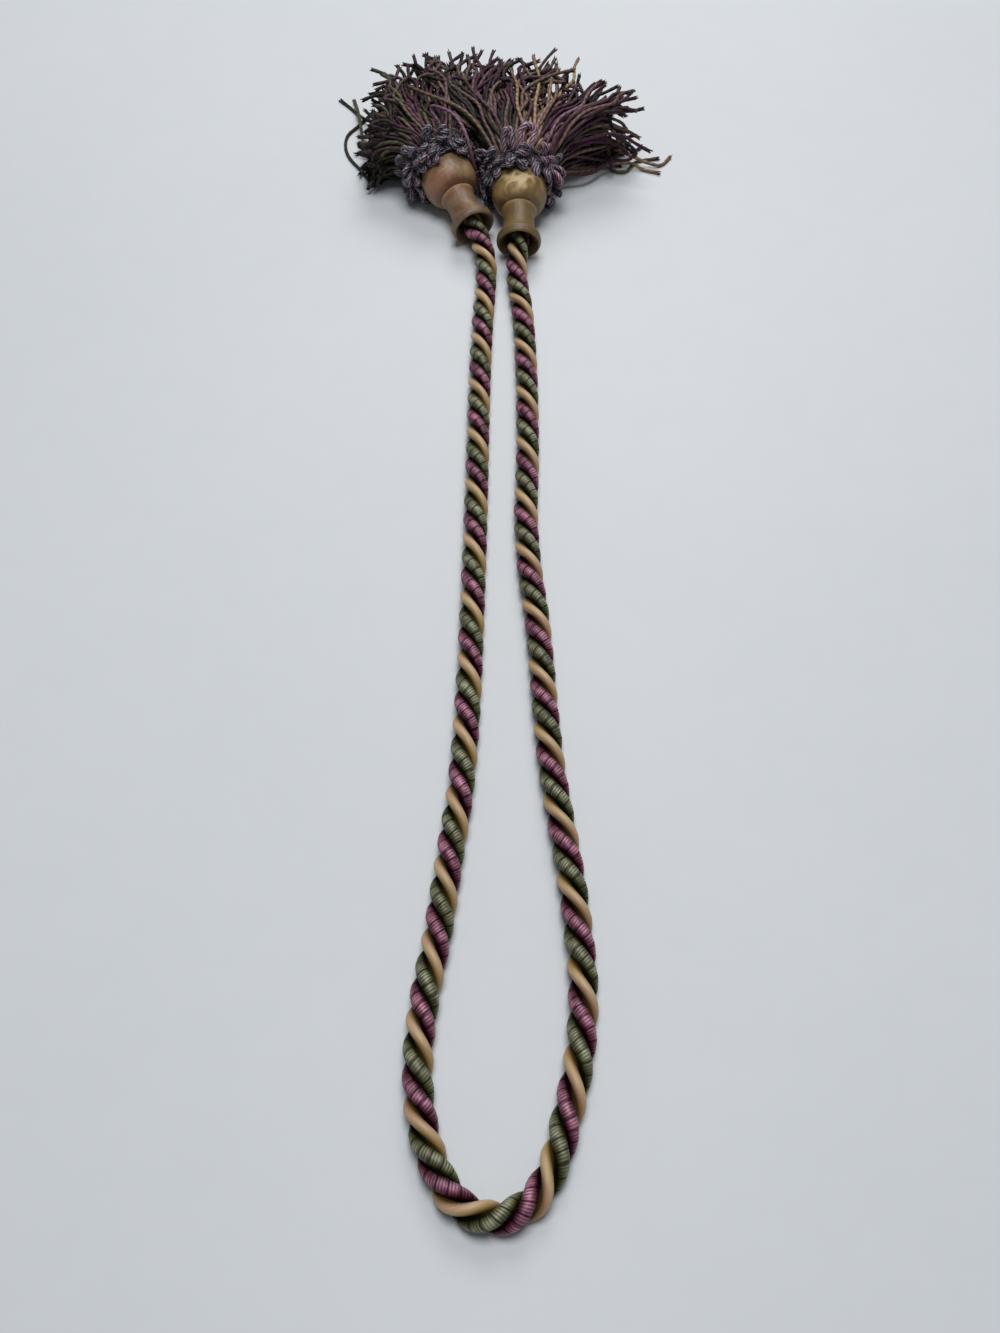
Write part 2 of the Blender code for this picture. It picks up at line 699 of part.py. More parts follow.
def main():
    clear_scene()
    mats = {name: make_material(name) for name in MATERIALS}
    build_rope(mats["rope_yarn"])
    for side in ("left", "right"):
        lathe("head_" + side, side, HEAD_PROFILE, HEAD_SEGMENTS, mats["turned_wood"], 35.0)
        build_collar(side, mats["collar_gimp"])
    build_skirts(mats["skirt_cord"])


main()
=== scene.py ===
"""Looks of the rope curtain tieback: the laid rope, the turned heads, the looped collars
and the skirts of cut cords, on a pale table in soft light from above and behind.

Shapes are worked out in millimetres of the part's layout and turned into metres of the frame.
"""
import math
from collections import namedtuple

import bpy
import numpy as np
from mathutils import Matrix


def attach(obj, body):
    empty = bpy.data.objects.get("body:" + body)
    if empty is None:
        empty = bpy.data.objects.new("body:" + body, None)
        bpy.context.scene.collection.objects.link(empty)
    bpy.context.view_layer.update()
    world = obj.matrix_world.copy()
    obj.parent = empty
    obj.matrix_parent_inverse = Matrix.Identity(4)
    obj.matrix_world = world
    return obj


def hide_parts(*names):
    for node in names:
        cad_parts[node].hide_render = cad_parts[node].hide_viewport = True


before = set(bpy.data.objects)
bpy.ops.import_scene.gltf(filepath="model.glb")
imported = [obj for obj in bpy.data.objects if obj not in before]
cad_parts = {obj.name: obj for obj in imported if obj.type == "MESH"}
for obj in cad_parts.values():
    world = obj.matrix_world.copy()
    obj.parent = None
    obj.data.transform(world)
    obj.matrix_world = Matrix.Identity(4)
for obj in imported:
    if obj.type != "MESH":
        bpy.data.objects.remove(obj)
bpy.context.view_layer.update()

MM = 0.001
LOWEST = 0.02  # least height of a yarn's surface over the table
ORIGIN = np.array([0.76, 368.85, 0.0])  # the frame's origin in the layout

# ---- camera, in layout millimetres ----
CAMERA_PLACE = (0.0, 0.0, 271.6)
CAMERA_PITCH = 56.95  # degrees below level
CAMERA_FOCUS = 1300.0  # focal length in pixels of the 1333 pixel side
IMAGE_HEIGHT = 1333.0
SENSOR = 36.0

# ---- rope ----
ROPE_RADIUS = 3.3
PATH_STEP = 3.0  # between the points of the rope's route, resampled in build_rope but not used
STRAND_SIDES = 12
STRANDS = {
    # name: place round the rope in turns, half width, half depth, step between rings, wrapped
    "satin": (0.0, 1.24, 1.48, 0.8, False),
    "plum": (1.0 / 3.0, 1.62, 1.56, 0.21, True),
    "olive": (2.0 / 3.0, 1.60, 1.56, 0.21, True),
}
WRAP_PITCH = 2.1  # of the band of yarns wound round a strand
WRAP_YARNS = 4.0  # in that band
WRAP_DIP = 0.045  # how deep its edge lies, as a share of the radius
YARN_DIP = 0.030  # how far each of its yarns stands up, likewise
GIMPS = {
    # wrapped strand: its darkest yarn colour, also the base of its painted shade; its lightest
    # yarn colour; its painted highlight
    "plum": ((0.045, 0.003, 0.012), (0.145, 0.012, 0.042), (0.740, 0.320, 0.460)),
    "olive": ((0.034, 0.033, 0.005), (0.088, 0.088, 0.020), (0.480, 0.480, 0.320)),
}
RIBBED = 0.65  # how much the painted highlight breaks up between the yarns, and how deep the painted shade lies between them
LIES = 3.2  # height of the centreline where the rope is on the table

ROPE_LYING = (
    # x, y where it is on the table, from the right head round to the left one
    (6.60, 302.3), (7.50, 280.8), (7.70, 260.3), (7.50, 240.8), (6.90, 222.8),
    (7.60, 205.7), (9.30, 189.1), (10.30, 173.7), (11.10, 159.2), (12.50, 143),
    (15, 125), (16.90, 108), (17.65, 92), (16.40, 79), (13.60, 67),
    (10.20, 56.5), (5.60, 50), (-1.20, 47.6), (-8.20, 50.2), (-13, 57.5),
    (-16, 67.1), (-16.90, 78.8), (-16, 90.6), (-13.50, 106), (-11.30, 124),
    (-9.10, 142), (-7.80, 165), (-7, 195), (-6.40, 230), (-6, 265),
    (-5.20, 297),
)
ROPE_ROUTE = (
    # x, y, z from inside the right head to inside the left one
    (5.95, 339.4, 8.03), (5.65, 328.6, 6.30), (5.15, 321.0, 4.70), (5.40, 313.0, 3.45),
    *((x, y, LIES) for x, y in ROPE_LYING),
    (-4.50, 311.0, 3.30), (-4.30, 321.0, 4.00), (-5.80, 330.2, 5.25), (-8.20, 336.4, 6.27),
    (-12.60, 346.6, 8.03),
)

# the lay is a little uneven: where along the rope the satin strand has made so many turns
LAY_MARKS = (
    # millimetres along the rope, turns
    (0, -0.9),
    (17, 0),
    (95.5, 4),
    (188, 9),
    (287, 14),
    (342, 17),
    (395, 20),
    (609, 31.3),
)

# ---- heads ----
HEADS = {
    # side: x, y, z of the face, heading in degrees from +Y (clockwise from above)
    "left": (-8.0, 336.0, 6.2, -23.6),
    "right": (5.8, 327.9, 6.2, 0.8),
}
HEAD_TILT = 9.0
HEAD_SIDES = 96
HEAD_STEP = 0.35  # between rings on its round stretches
SHARP_ANGLE = 38.0  # degrees between faces that meet in a crisp edge
HEAD_PROFILE = (
    # along the axis, radius, a crisp turned edge or not, and a worn edge lightened with painted
    # highlight (1) or painted shade inside and in the crease (-1)
    (5.0, 0.05, True, -1.0),
    (5.0, 3.6, True, -0.9),
    (2.8, 4.0, False, -0.3),
    (1.2, 4.8, False, -0.2),
    (0.3, 5.7, True, 0.1),
    (0.0, 6.2, False, 0.3),
    (0.45, 6.7, False, 0.3),
    (1.4, 6.9, False, 0.1),
    (2.5, 6.8, True, 0.3),
    (3.0, 6.2, False, 0.0),
    (4.4, 5.5, False, 0.0),
    (6.6, 4.95, False, 0.0),
    (10.0, 4.8, False, 0.0),
    (12.4, 5.05, False, 0.0),
    (13.4, 5.5, True, 1.0),
    (13.9, 4.8, False, -0.8),
    (14.5, 5.7, False, -0.5),
    (15.4, 6.9, False, 0.2),
    (17.0, 7.95, False, 0.3),
    (19.5, 8.6, False, 0.1),
    (22.0, 8.7, False, 0.0),
    (25.0, 8.2, False, 0.0),
    (27.6, 7.2, True, 0.0),
    (27.6, 0.05, True, 0.0),
)

WOODS = {
    # side: material, dark, middle, light and stain colours, strength of the painted glint on the
    # bulb
    "left": ("stained_wood_copper", (0.125, 0.068, 0.030), (0.235, 0.140, 0.068),
             (0.360, 0.230, 0.125), (0.230, 0.070, 0.028), 0.3),
    "right": ("stained_wood_olive", (0.110, 0.062, 0.018), (0.210, 0.125, 0.040),
              (0.340, 0.220, 0.080), (0.150, 0.095, 0.030), 1.9),
}
PAINTED_GLINT_PLACE = 18.6  # middle of the painted glint, in pale crackle-like veins, along a head's axis
PAINTED_GLINT_REACH = 4.6

# ---- collars ----
COLLAR_FRONT = 28.6
BAND_WRAPS = 9  # dark yarns wound round under the loops
BAND_STEPS = 7.0  # steps between them from the back to the collar's front
BAND_BACK = 24.0
BAND_RADIUS = 9.5
BAND_YARN = 0.62  # radius of such a yarn
BAND_WANDER = 0.35  # how far it strays along and outwards
COLLAR_ROWS = {
    # name: loops, foot and tip as (along, radius), half width, yarn's radius
    "over the bulb": (17, (26.6, 10.2), (21.4, 10.4), 0.62, 0.66),
    "behind": (19, (27.4, 10.4), (23.4, 12.6), 0.66, 0.68),
    "upright": (18, (28.8, 10.6), (26.4, 13.8), 0.66, 0.66),
    "over the cords": (15, (29.4, 10.0), (31.4, 13.8), 0.66, 0.64),
}
LOOP_LEAN = 2.2  # scatter of a loop's tip sideways
LOOP_REACH = 0.8  # scatter of its tip's place, within these limits
LOOP_LIMITS = (-1.5, 0.9)
LOOP_WIDTHS = (0.7, 1.4)  # a loop's own share of its row's half width
LOOP_YARNS = (0.8, 1.15)  # and of its row's yarn
LOOP_WOBBLE = 0.16  # scatter of the points along a loop
LOOP_ROUND = 11.0  # radius at which widths and leans become angles
ROW_DYE_SCATTER = 0.08
LOOP_DYE_SCATTER = 0.14  # at either end of one loop
COLLAR_DYES = {
    # side, row: (degrees from the top, dye) from the left round to the right
    # on the left collar, the near-black dyes from about 35 to 55 degrees on, towards the right
    # head, are dark plum yarn that also stands in as painted shade
    ("left", "over the bulb"): (
        (-110, 0.74), (-70, 0.62), (-25, 0.76), (8, 1.00), (35, 0.1), (120, 0.2)),
    ("left", "behind"): (
        (-110, 0.64), (-70, 0.54), (-25, 0.50), (5, 0.02), (30, 0.60), (55, 0.05), (120, 0.1)),
    ("left", "upright"): (
        (-110, 0.56), (-60, 0.50), (-20, 0.46), (15, 0.52), (45, 0.10), (120, 0.1)),
    ("left", "over the cords"): (
        (-110, 0.20), (-50, 0.48), (0, 0.54), (25, 0.46), (50, 0.05), (120, 0.1)),
    ("right", "over the bulb"): (
        (-110, 0.10), (-60, 0.62), (-15, 0.56), (20, 0.48), (45, 0.88), (110, 0.70)),
    ("right", "behind"): (
        (-110, 0.10), (-60, 0.64), (-15, 0.10), (10, 0.50), (45, 0.90), (75, 0.84), (110, 0.20)),
    ("right", "upright"): (
        (-110, 0.10), (-50, 0.62), (-10, 0.05), (20, 0.30), (45, 1.00), (80, 0.80), (110, 0.60)),
    ("right", "over the cords"): (
        (-110, 0.05), (-50, 0.62), (0, 0.80), (40, 0.98), (70, 0.60), (110, 0.10)),
}
ARCHES = (
    # side, degrees from the top, foot and tip as (along, radius), half width, dye
    ("right", -15.0, (26.8, 12.0), (32.0, 15.4), 1.6, 0.86),
    ("right", 9.0, (27.2, 12.4), (33.2, 16.2), 2.2, 0.89),
)
ARCH_YARN = 0.86
BESIDE_ARCH = 13.0  # degrees on each side that an arch keeps free of loops
FLAT_ROUND = {
    # side: degrees between which the loops lie flatter, under the neighbour or a cord
    "left": (24.0, 110.0),
    "right": (-120.0, -70.0),
}
FLAT_SHARE = 0.45  # how much of its reach such a loop keeps
FLOSS_LOBES = 5  # strands that show round a loop's yarn
FLOSS_TWIST = 0.13  # their turns in a millimetre
FLOSS_DEPTH = 0.13  # how deep they are cut, as a share of the radius
FLOSS_SIDES = 15
LOOP_FIBRES = 140  # loose ends of fibre on each collar
FIBRE_RADIUS = 0.06
FIBRE_ALONG = (23.5, 31.0)  # where they start, along a head's axis and out from it
FIBRE_OUT = (11.0, 13.5)
COLLAR_SEEDS = {"left": 31, "right": 17}

# ---- skirts ----
BACKING_RADIUS = 8.6
BACKING_BACK = 27.9
BACKING_FRONT = 31.2
BACKING_SIDES = 40
BACKING = np.array([
    # along the axis, radius of the wound heading that the cords come out of
    (BACKING_BACK, 0.05),
    (BACKING_BACK, BACKING_RADIUS - 0.4),
    (BACKING_FRONT - 1.2, BACKING_RADIUS),
    (BACKING_FRONT, BACKING_RADIUS - 0.6),
    (BACKING_FRONT + 0.5, 4.0),
    (BACKING_FRONT + 0.6, 0.05),
])
CORD_RADIUS = 0.53
CORD_SIDES = 6
CORD_STEP = 1.3
CORD_TWIST = 4.8  # one turn of the two plies
PLY_DEPTH = 0.09  # how deep they are cut, as a share of the radius
TIP_FLARE = 1.12  # how much wider a cord is at its cut end
CORD_POINTS = 10  # of a cord's line while the cords settle
CORDS_PER_SKIRT = 385
ROOT_RADIUS = 8.0
ROOT_DEPTH = 1.3
FLOOR_LEVEL = 0.55  # lowest height of a cord's centreline
CORD_SPACING = 0.84  # least distance between two cords' centrelines
REACH_SCATTER = (0.84, 1.03)  # a cord's own share of its skirt's reach
HIGH_SHORTER = 0.20  # the same share is less by this for the highest cords
LONGEST_CORD = 50.0
LAYOUT_SEED = 11
FRAY_SEED = 5
SKIRT_TOP = 24.0  # no cord's centreline stands higher
GOLDEN_TURN = 2.399963  # radians from one cord's root to the next
HEADING_SCATTER = 14.0  # scatter of one cord about its neighbours, in degrees
CLIMB_SCATTER = 4.5  # of the slope it leaves at
FALL_SCATTER = 12.0  # of the slope it ends at
SWING_SCATTER = 75.0  # how far its tip curls sideways
LEVEL_CLIMB = 6.0  # a cord of the middle leaves near level
LEVEL_FALL = 4.0  # and ends near level
CLIMB_OVER_HEIGHT = 11.0  # how much steeper at the top of the backing, and less at its foot
FOOT = -0.35  # cords rooted lower than this lie down, with at most these slopes
FOOT_CLIMB = -4.0
FOOT_FALL = 12.0
LOW_SHARE = 0.35  # how far up the backing its cords fall fully
HIGH_FALL = 0.25  # share of the fall that the highest cords have
RIM_BEND = {
    # side of the skirt: extra climb, extra fall
    "outer": (52.0, 108.0),
    "inner": (36.0, 52.0),
}
SKIRTS = {
    # side: (heading from +Y in degrees, reach of the tips from the backing's middle)
    "left": (
        (-78, 22), (-60, 26.5), (-42, 33), (-28, 38.5), (-5, 43), (22, 46)),
    "right": (
        (-37, 47), (-10, 47), (8, 47), (24, 43), (40, 41.5), (54, 45)),
}
RIM_CALM = 0.80  # how much less the outermost cords scatter and wave
TIP_NOD = 45.0  # how far a tip curls up or down
RIM_ARC = {"left": 50.0, "right": 18.0}  # how far the outermost cords turn outwards
LOW_LONGER = 0.12  # how much farther the lower cords of the middle reach
WAVE_SIZE = (0.35, 1.25)  # how far a cord waves along its length, in radians
WAVE_TURNS = (1.0, 2.3)  # and how often
TAN_WIDE = (0.05, 0.70)  # where the right skirt has tan cords: from and to, as
TAN_ABOVE = 0.15  # shares of the backing's radius, and above this height
TAN_SHARE = 0.38  # of the cords there
TAN_DYES = (0.80, 0.94)
SETTLE_ROUNDS = 60
SHAPE_MEMORY = 0.01  # how far a cord goes back to its first line each round
SEARCH_MARGIN = 2.0  # how much farther off two cords are watched for touching
COLLAR_REACH = 16.0  # cords nearer the axis than this are lifted off the loops
COLLAR_MARGIN = 2.2  # until they are so far past the collar's front
COLLAR_LIFT = 1.2  # at most so far each round
COLLAR_FREE_UPTO = 10.0  # nothing nearer the face than this is lifted
FRAY_FIBRES = 5
FRAY_RADII = np.array([0.3, 0.24, 0.07])  # of a fibre, from its root to its end

STRAY_LEAD = 2.6  # how far these cords run on from the backing before their first bend
STRAYS = {
    # name: side, root's angle from the top, dye, (x, y, z) of its bends
    "dark loop": ("left", -120, 0.03, (
        (-36, 368.5, 1), (-41, 365.5, 0), (-46.5, 373, 0), (-50.5, 379.5, 0),
        (-52, 385.5, 0), (-51.5, 391, 0), (-48, 396.5, 0), (-44, 403.5, 0))),
    "olive pair, lower": ("left", -84, 0.15, (
        (-33.5, 380.5, 4.5), (-41, 391, 4), (-47, 399.5, 1.5), (-50.5, 405, 0.5),
        (-55, 410.5, 0))),
    "olive pair, upper": ("left", -102, 0.17, (
        (-37, 374.5, 5), (-44.5, 381, 3), (-47, 392, 3.5), (-48.5, 401, 3),
        (-50.5, 410.5, 0.5))),
    "purple thread": ("left", 27, 0.75, (
        (-22.3, 374.8, 22), (-18.3, 371.2, 24), (-14.1, 366.4, 24.5), (-10.9, 359.6, 23.5),
        (-9.3, 357, 19.5), (-8.4, 356.8, 15), (-7.4, 357.4, 9.5), (-6.9, 358, 4.5),
        (-6.6, 360, 0.6))),
    "dark spike": ("left", -14, 0.04, (
        (-21, 384, 18.5), (-18, 402.5, 18.5), (-21, 405.5, 18.5), (-25.5, 409.5, 18))),
    "olive end": ("right", 122, 0.2, (
        (25, 374.5, 2), (31, 379, 0.5), (35, 378, 0), (37.5, 372, 0),
        (41.5, 371.5, 0), (45, 376.5, 0), (52.5, 378.5, 0))),
    "tan end, lower": ("right", 106, 0.92, (
        (23, 369, 2.5), (30, 372.5, 0.5), (36.5, 374, 1.5), (43.5, 374.5, 1.5),
        (47.5, 372.5, 0.5), (52, 371, 0))),
    "tan end, upper": ("right", 90, 0.88, (
        (27, 379.5, 5), (35, 381.5, 3), (40, 378, 3.5), (44.5, 375, 3.5),
        (49.5, 374.5, 1.5), (53.5, 375, 0.5), (56.5, 379, 0))),
    "tan tuft": ("right", 14, 1, (
        (14.5, 371.5, 20), (20, 385.5, 20.5), (24, 392.5, 20), (24.5, 400, 19.5),
        (26, 405.5, 19))),
    "high arch": ("right", 44, 0.5, (
        (18.5, 367, 21), (23, 369.5, 23), (27.5, 372.5, 21), (31.5, 375.5, 14.5),
        (35.5, 380, 7), (39, 384.5, 2))),
}

# the yarns' colours, in order of their place on the dye ramp
DYES = (
    # place, linear colour
    (0.00, (0.026, 0.015, 0.020)),  # black plum
    (0.12, (0.058, 0.058, 0.032)),  # dark olive
    (0.24, (0.175, 0.160, 0.090)),  # grey olive
    (0.36, (0.250, 0.160, 0.120)),  # taupe
    (0.48, (0.190, 0.098, 0.122)),  # mauve
    (0.58, (0.080, 0.024, 0.045)),  # plum
    (0.66, (0.120, 0.036, 0.070)),  # red plum
    (0.75, (0.320, 0.165, 0.240)),  # pink mauve
    (0.86, (0.440, 0.285, 0.170)),  # tan
    (1.00, (0.600, 0.420, 0.240)),  # straw
)

COLLAR_RAMP = (
    # place, linear colour
    (0.00, (0.010, 0.006, 0.012)),  # black plum
    (0.15, (0.050, 0.016, 0.040)),  # dark plum
    (0.30, (0.045, 0.048, 0.060)),  # dark slate
    (0.46, (0.100, 0.104, 0.130)),  # slate
    (0.58, (0.190, 0.160, 0.205)),  # lilac grey
    (0.70, (0.190, 0.090, 0.145)),  # mauve
    (0.86, (0.330, 0.170, 0.250)),  # pink mauve
    (1.00, (0.600, 0.270, 0.370)),  # pink
)

DYE_SCATTER = 0.02  # of the cords of one dye

# how often each dye comes in the four quarters of the two skirts
DYE_SHARES = {
    # side, half: (dye place, share)
    ("left", "outer"): ((0.12, 0.22), (0.24, 0.32), (0.48, 0.14), (0.02, 0.18), (0.58, 0.14)),
    ("left", "inner"): ((0.02, 0.28), (0.36, 0.16), (0.48, 0.16), (0.58, 0.24), (0.12, 0.16)),
    ("right", "inner"): ((0.36, 0.34), (0.48, 0.14), (0.58, 0.24), (0.02, 0.18), (0.12, 0.10)),
    ("right", "outer"): ((0.36, 0.34), (0.58, 0.26), (0.48, 0.16), (0.02, 0.18), (0.82, 0.06)),
}


# ---- table and lights, in metres of the frame ----
TABLE_HALF = 1.2
ROOM_COLOUR = (0.88, 0.94, 1.0, 1.0)
ROOM_STRENGTH = 0.17
LIGHTS = (
    # name, place, target, diameter, power, colour
    ("window_behind", (0.10, 0.70, 0.80), (0.0, -0.1, 0.0), 0.6, 4.6, (1.0, 0.99, 0.97)),
    ("ceiling", (0.0, -0.05, 1.2), (0.0, -0.12, 0.0), 0.65, 9.0, (0.97, 0.98, 1.0)),
)

Cord = namedtuple("Cord", "side line still dye")


def to_frame(points):
    """Layout millimetres to metres of the frame."""
    return (np.asarray(points, float) - ORIGIN) * MM


def unit(vec):
    vec = np.asarray(vec, float)
    return vec / np.linalg.norm(vec)


def unit_rows(rows):
    return rows / np.maximum(np.linalg.norm(rows, axis=1), 1e-9)[:, None]


def head_frame(side):
    """Origin, axis, sideways and upward directions of one head, in layout millimetres."""
    x, y, z, heading = HEADS[side]
    turn = math.radians(heading)
    climb = math.radians(HEAD_TILT)
    axis = np.array([
        math.sin(turn) * math.cos(climb),
        math.cos(turn) * math.cos(climb),
        math.sin(climb),
    ])
    across = unit(np.cross(axis, [0.0, 0.0, 1.0]))
    up = np.cross(across, axis)
    return np.array([x, y, z]), axis, across, up


def between(t, t0, t1, p0, p1):
    """The point at t on the straight way from p0 at t0 to p1 at t1."""
    return (t1 - t) / (t1 - t0) * p0 + (t - t0) / (t1 - t0) * p1


def smooth_curve(points, step):
    """A centripetal curve through `points`, resampled at even steps of arc length."""
    pts = np.asarray(points, float)
    pts = np.vstack([2 * pts[0] - pts[1], pts, 2 * pts[-1] - pts[-2]])
    dense = []
    for i in range(1, len(pts) - 2):
        p0, p1, p2, p3 = pts[i - 1:i + 3]
        t0 = 0.0
        t1 = t0 + math.sqrt(np.linalg.norm(p1 - p0))
        t2 = t1 + math.sqrt(np.linalg.norm(p2 - p1))
        t3 = t2 + math.sqrt(np.linalg.norm(p3 - p2))
        t = np.linspace(t1, t2, 25)[:-1, None]
        a1 = between(t, t0, t1, p0, p1)
        a2 = between(t, t1, t2, p1, p2)
        a3 = between(t, t2, t3, p2, p3)
        b1 = between(t, t0, t2, a1, a2)
        b2 = between(t, t1, t3, a2, a3)
        dense.append(between(t, t1, t2, b1, b2))
    dense.append(pts[-2][None])
    dense = np.vstack(dense)
    arc = arc_length(dense)
    count = max(int(round(arc[-1] / step)), 2)
    even = np.linspace(0.0, arc[-1], count + 1)
    return np.stack([np.interp(even, arc, dense[:, k]) for k in range(3)], axis=1)


def arc_length(points):
    """Each point's distance along the line from its start."""
    return np.concatenate([[0.0], np.cumsum(np.linalg.norm(np.diff(points, axis=0), axis=1))])


def full_turn(sides):
    """The angles of a ring's corners."""
    return 2.0 * math.pi * np.arange(sides) / sides


def spokes(angles, first, second):
    """Directions at these angles between two unit vectors, or between each two rows of them."""
    cosine = np.cos(angles)[:, None]
    sine = np.sin(angles)[:, None]
    return cosine * first[..., None, :] + sine * second[..., None, :]


def turned_rings(side, profile, sides):
    """Rings round a head's axis, one for each (along, radius) of the profile."""
    origin, axis, across, up = head_frame(side)
    along = profile[:, 0][:, None, None]
    radius = profile[:, 1][:, None, None]
    return origin + along * axis + radius * spokes(full_turn(sides), up, across)


def carried_frames(line):
    """Two directions across a line at each of its points, carried along without twisting."""
    ahead = unit_rows(np.gradient(line, axis=0))
    first = np.cross(ahead[0], [0.0, 0.0, 1.0])
    if np.linalg.norm(first) < 0.2:
        first = np.cross(ahead[0], [1.0, 0.0, 0.0])
    side = np.empty_like(line)
    side[0] = unit(first)
    for i in range(1, len(line)):
        turned = side[i - 1] - (side[i - 1] @ ahead[i]) * ahead[i]
        side[i] = turned / np.linalg.norm(turned)
    return side, np.cross(side, ahead)


class Batch:
    """Tubes and turned shapes collected into one mesh."""

    def __init__(self):
        self.verts, self.dyes = [], []
        self.corners, self.uvs = [], []
        self.sizes, self.mats = [], []
        self.count = 0

    def rings(self, rings, along, material=0, dye=0.0):
        """A closed tube through rings of points; along gives each ring's place in millimetres."""
        n, k = rings.shape[:2]
        index = self.count + np.arange(n * k).reshape(n, k)
        following = np.roll(index, -1, axis=1)
        quads = np.stack([index[:-1], following[:-1], following[1:], index[1:]], axis=2)
        around = np.arange(k) / k
        next_around = around + 1 / k
        corner_u = np.stack([around, next_around, next_around, around], axis=1)
        u = np.broadcast_to(corner_u, (n - 1, k, 4))
        low = np.broadcast_to(along[:-1, None], (n - 1, k))
        high = np.broadcast_to(along[1:, None], (n - 1, k))
        v = np.stack([low, low, high, high], axis=2)
        self.verts.append(rings.reshape(-1, 3))
        self.corners.append(quads.reshape(-1))
        self.sizes.append(np.full((n - 1) * k, 4))
        self.uvs.append(np.stack([u, v], axis=3).reshape(-1, 2))
        for ring, place in ((index[0][::-1], along[0]), (index[-1], along[-1])):
            self.corners.append(ring)
            self.sizes.append(np.array([k]))
            self.uvs.append(np.stack([around, np.full(k, place)], axis=1))
        self.mats.append(np.full((n - 1) * k + 2, material))
        dye = np.asarray(dye, float)
        dye = dye[:, None] if dye.ndim == 1 else dye
        self.dyes.append(np.broadcast_to(dye, (n, k)).reshape(-1))
        self.count += n * k

    def build(self, name, materials):
        """The collected shapes as one smooth mesh object that rides on the part."""
        verts = to_frame(np.vstack(self.verts))
        corners = np.concatenate(self.corners).astype(np.int32)
        sizes = np.concatenate(self.sizes).astype(np.int32)
        starts = np.concatenate([[0], np.cumsum(sizes)[:-1]]).astype(np.int32)
        mesh = bpy.data.meshes.new(name)
        mesh.vertices.add(len(verts))
        mesh.vertices.foreach_set("co", verts.reshape(-1).astype(np.float32))
        mesh.loops.add(len(corners))
        mesh.loops.foreach_set("vertex_index", corners)
        mesh.polygons.add(len(sizes))
        mesh.polygons.foreach_set("loop_start", starts)
        mesh.polygons.foreach_set("material_index", np.concatenate(self.mats).astype(np.int32))
        mesh.polygons.foreach_set("use_smooth", np.ones(len(sizes), bool))
        mesh.update(calc_edges=True)
        layer = mesh.uv_layers.new(name="yarn")
        layer.data.foreach_set("uv", np.vstack(self.uvs).reshape(-1).astype(np.float32))
        dye = mesh.attributes.new("dye", "FLOAT", "POINT")
        dye.data.foreach_set("value", np.concatenate(self.dyes).astype(np.float32))
        mesh.validate()
        for material in materials:
            mesh.materials.append(material)
        ob = bpy.data.objects.new(name, mesh)
        bpy.context.scene.collection.objects.link(ob)
        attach(ob, "root")
        return ob


# ---------------------------------------------------------------- materials
class Shader:
    """A Principled material with short ways to add nodes."""

    def __init__(self, name, roughness, **sockets):
        self.mat = bpy.data.materials.new(name)
        self.mat.use_nodes = True
        self.tree = self.mat.node_tree
        self.bsdf = self.tree.nodes["Principled BSDF"]
        self.bsdf.inputs["Roughness"].default_value = roughness
        for socket, value in sockets.items():
            self.bsdf.inputs[socket.replace("_", " ")].default_value = value

    def node(self, kind, *links, **settings):
        """A node with its inputs linked or set in order; None leaves one as it is."""
        made = self.tree.nodes.new("ShaderNode" + kind)
        for key, value in settings.items():
            setattr(made, key, value)
        for i, value in enumerate(links):
            if isinstance(value, bpy.types.NodeSocket):
                self.tree.links.new(value, made.inputs[i])
            elif value is not None:
                made.inputs[i].default_value = (*value, 1.0) if isinstance(value, tuple) else value
        return made

    def math(self, operation, *values, clamp=False):
        return self.node("Math", *values, operation=operation, use_clamp=clamp).outputs[0]

    def times(self, one, two, clamp=False):
        return self.math("MULTIPLY", one, two, clamp=clamp)

    def scaled(self, value, gain, offset, clamp=False):
        """value * gain + offset."""
        return self.math("MULTIPLY_ADD", value, gain, offset, clamp=clamp)

    def minus(self, one, two, clamp=False):
        return self.math("SUBTRACT", one, two, clamp=clamp)

    def power(self, value, exponent):
        return self.math("POWER", value, exponent)

    def mix(self, share, one, two):
        """From colour one to colour two by the share; a Mix node's colours are inputs 6 and 7."""
        return self.node("Mix", share, *[None] * 5, one, two, data_type="RGBA").outputs[2]

    def ramp(self, value, stops):
        """The colour at a place from 0 to 1, between (place, colour) stops."""
        made = self.node("ValToRGB", value)
        elements = made.color_ramp.elements
        while len(elements) < len(stops):
            elements.new(0.5)
        for element, (place, colour) in zip(elements, stops):
            element.position = place
            element.color = (*colour, 1.0)
        return made.outputs[0]

    def noise(self, vector, scale, detail, roughness):
        return self.node("TexNoise", vector, None, scale, detail, roughness).outputs[0]

    def along_around(self):
        """Place along the yarn in millimetres, and the share of a turn round it."""
        uv = self.node("UVMap", uv_map="yarn")
        split = self.node("SeparateXYZ", uv.outputs[0])
        return split.outputs[1], split.outputs[0]

    def patches(self, scale, detail, roughness=0.55):
        """Noise over the surface, about `scale` patches to a metre."""
        return self.noise(self.node("TexCoord").outputs["Object"], scale, detail, roughness)

    def dye(self):
        """The number stored at each point of the mesh: a dye's place, a tone, or the heads' wear
        and painted light.
        """
        return self.node("Attribute", attribute_name="dye").outputs["Fac"]

    def waves(self, value, turns):
        """A wave from 0 to 1 that repeats `turns` times for each unit of value."""
        angle = self.times(value, 2.0 * math.pi * turns)
        return self.scaled(self.math("COSINE", angle), 0.5, 0.5)

    def finish(self, colour, height, strength, distance, **sockets):
        """The material, with bumps up to `distance` metres high and other sockets linked."""
        bump = self.tree.nodes.new("ShaderNodeBump")
        bump.inputs["Strength"].default_value = strength
        bump.inputs["Distance"].default_value = distance
        self.tree.links.new(height, bump.inputs["Height"])
        self.tree.links.new(bump.outputs[0], self.bsdf.inputs["Normal"])
        self.tree.links.new(colour, self.bsdf.inputs["Base Color"])
        for socket, value in sockets.items():
            self.tree.links.new(value, self.bsdf.inputs[socket.replace("_", " ")])
        return self.mat


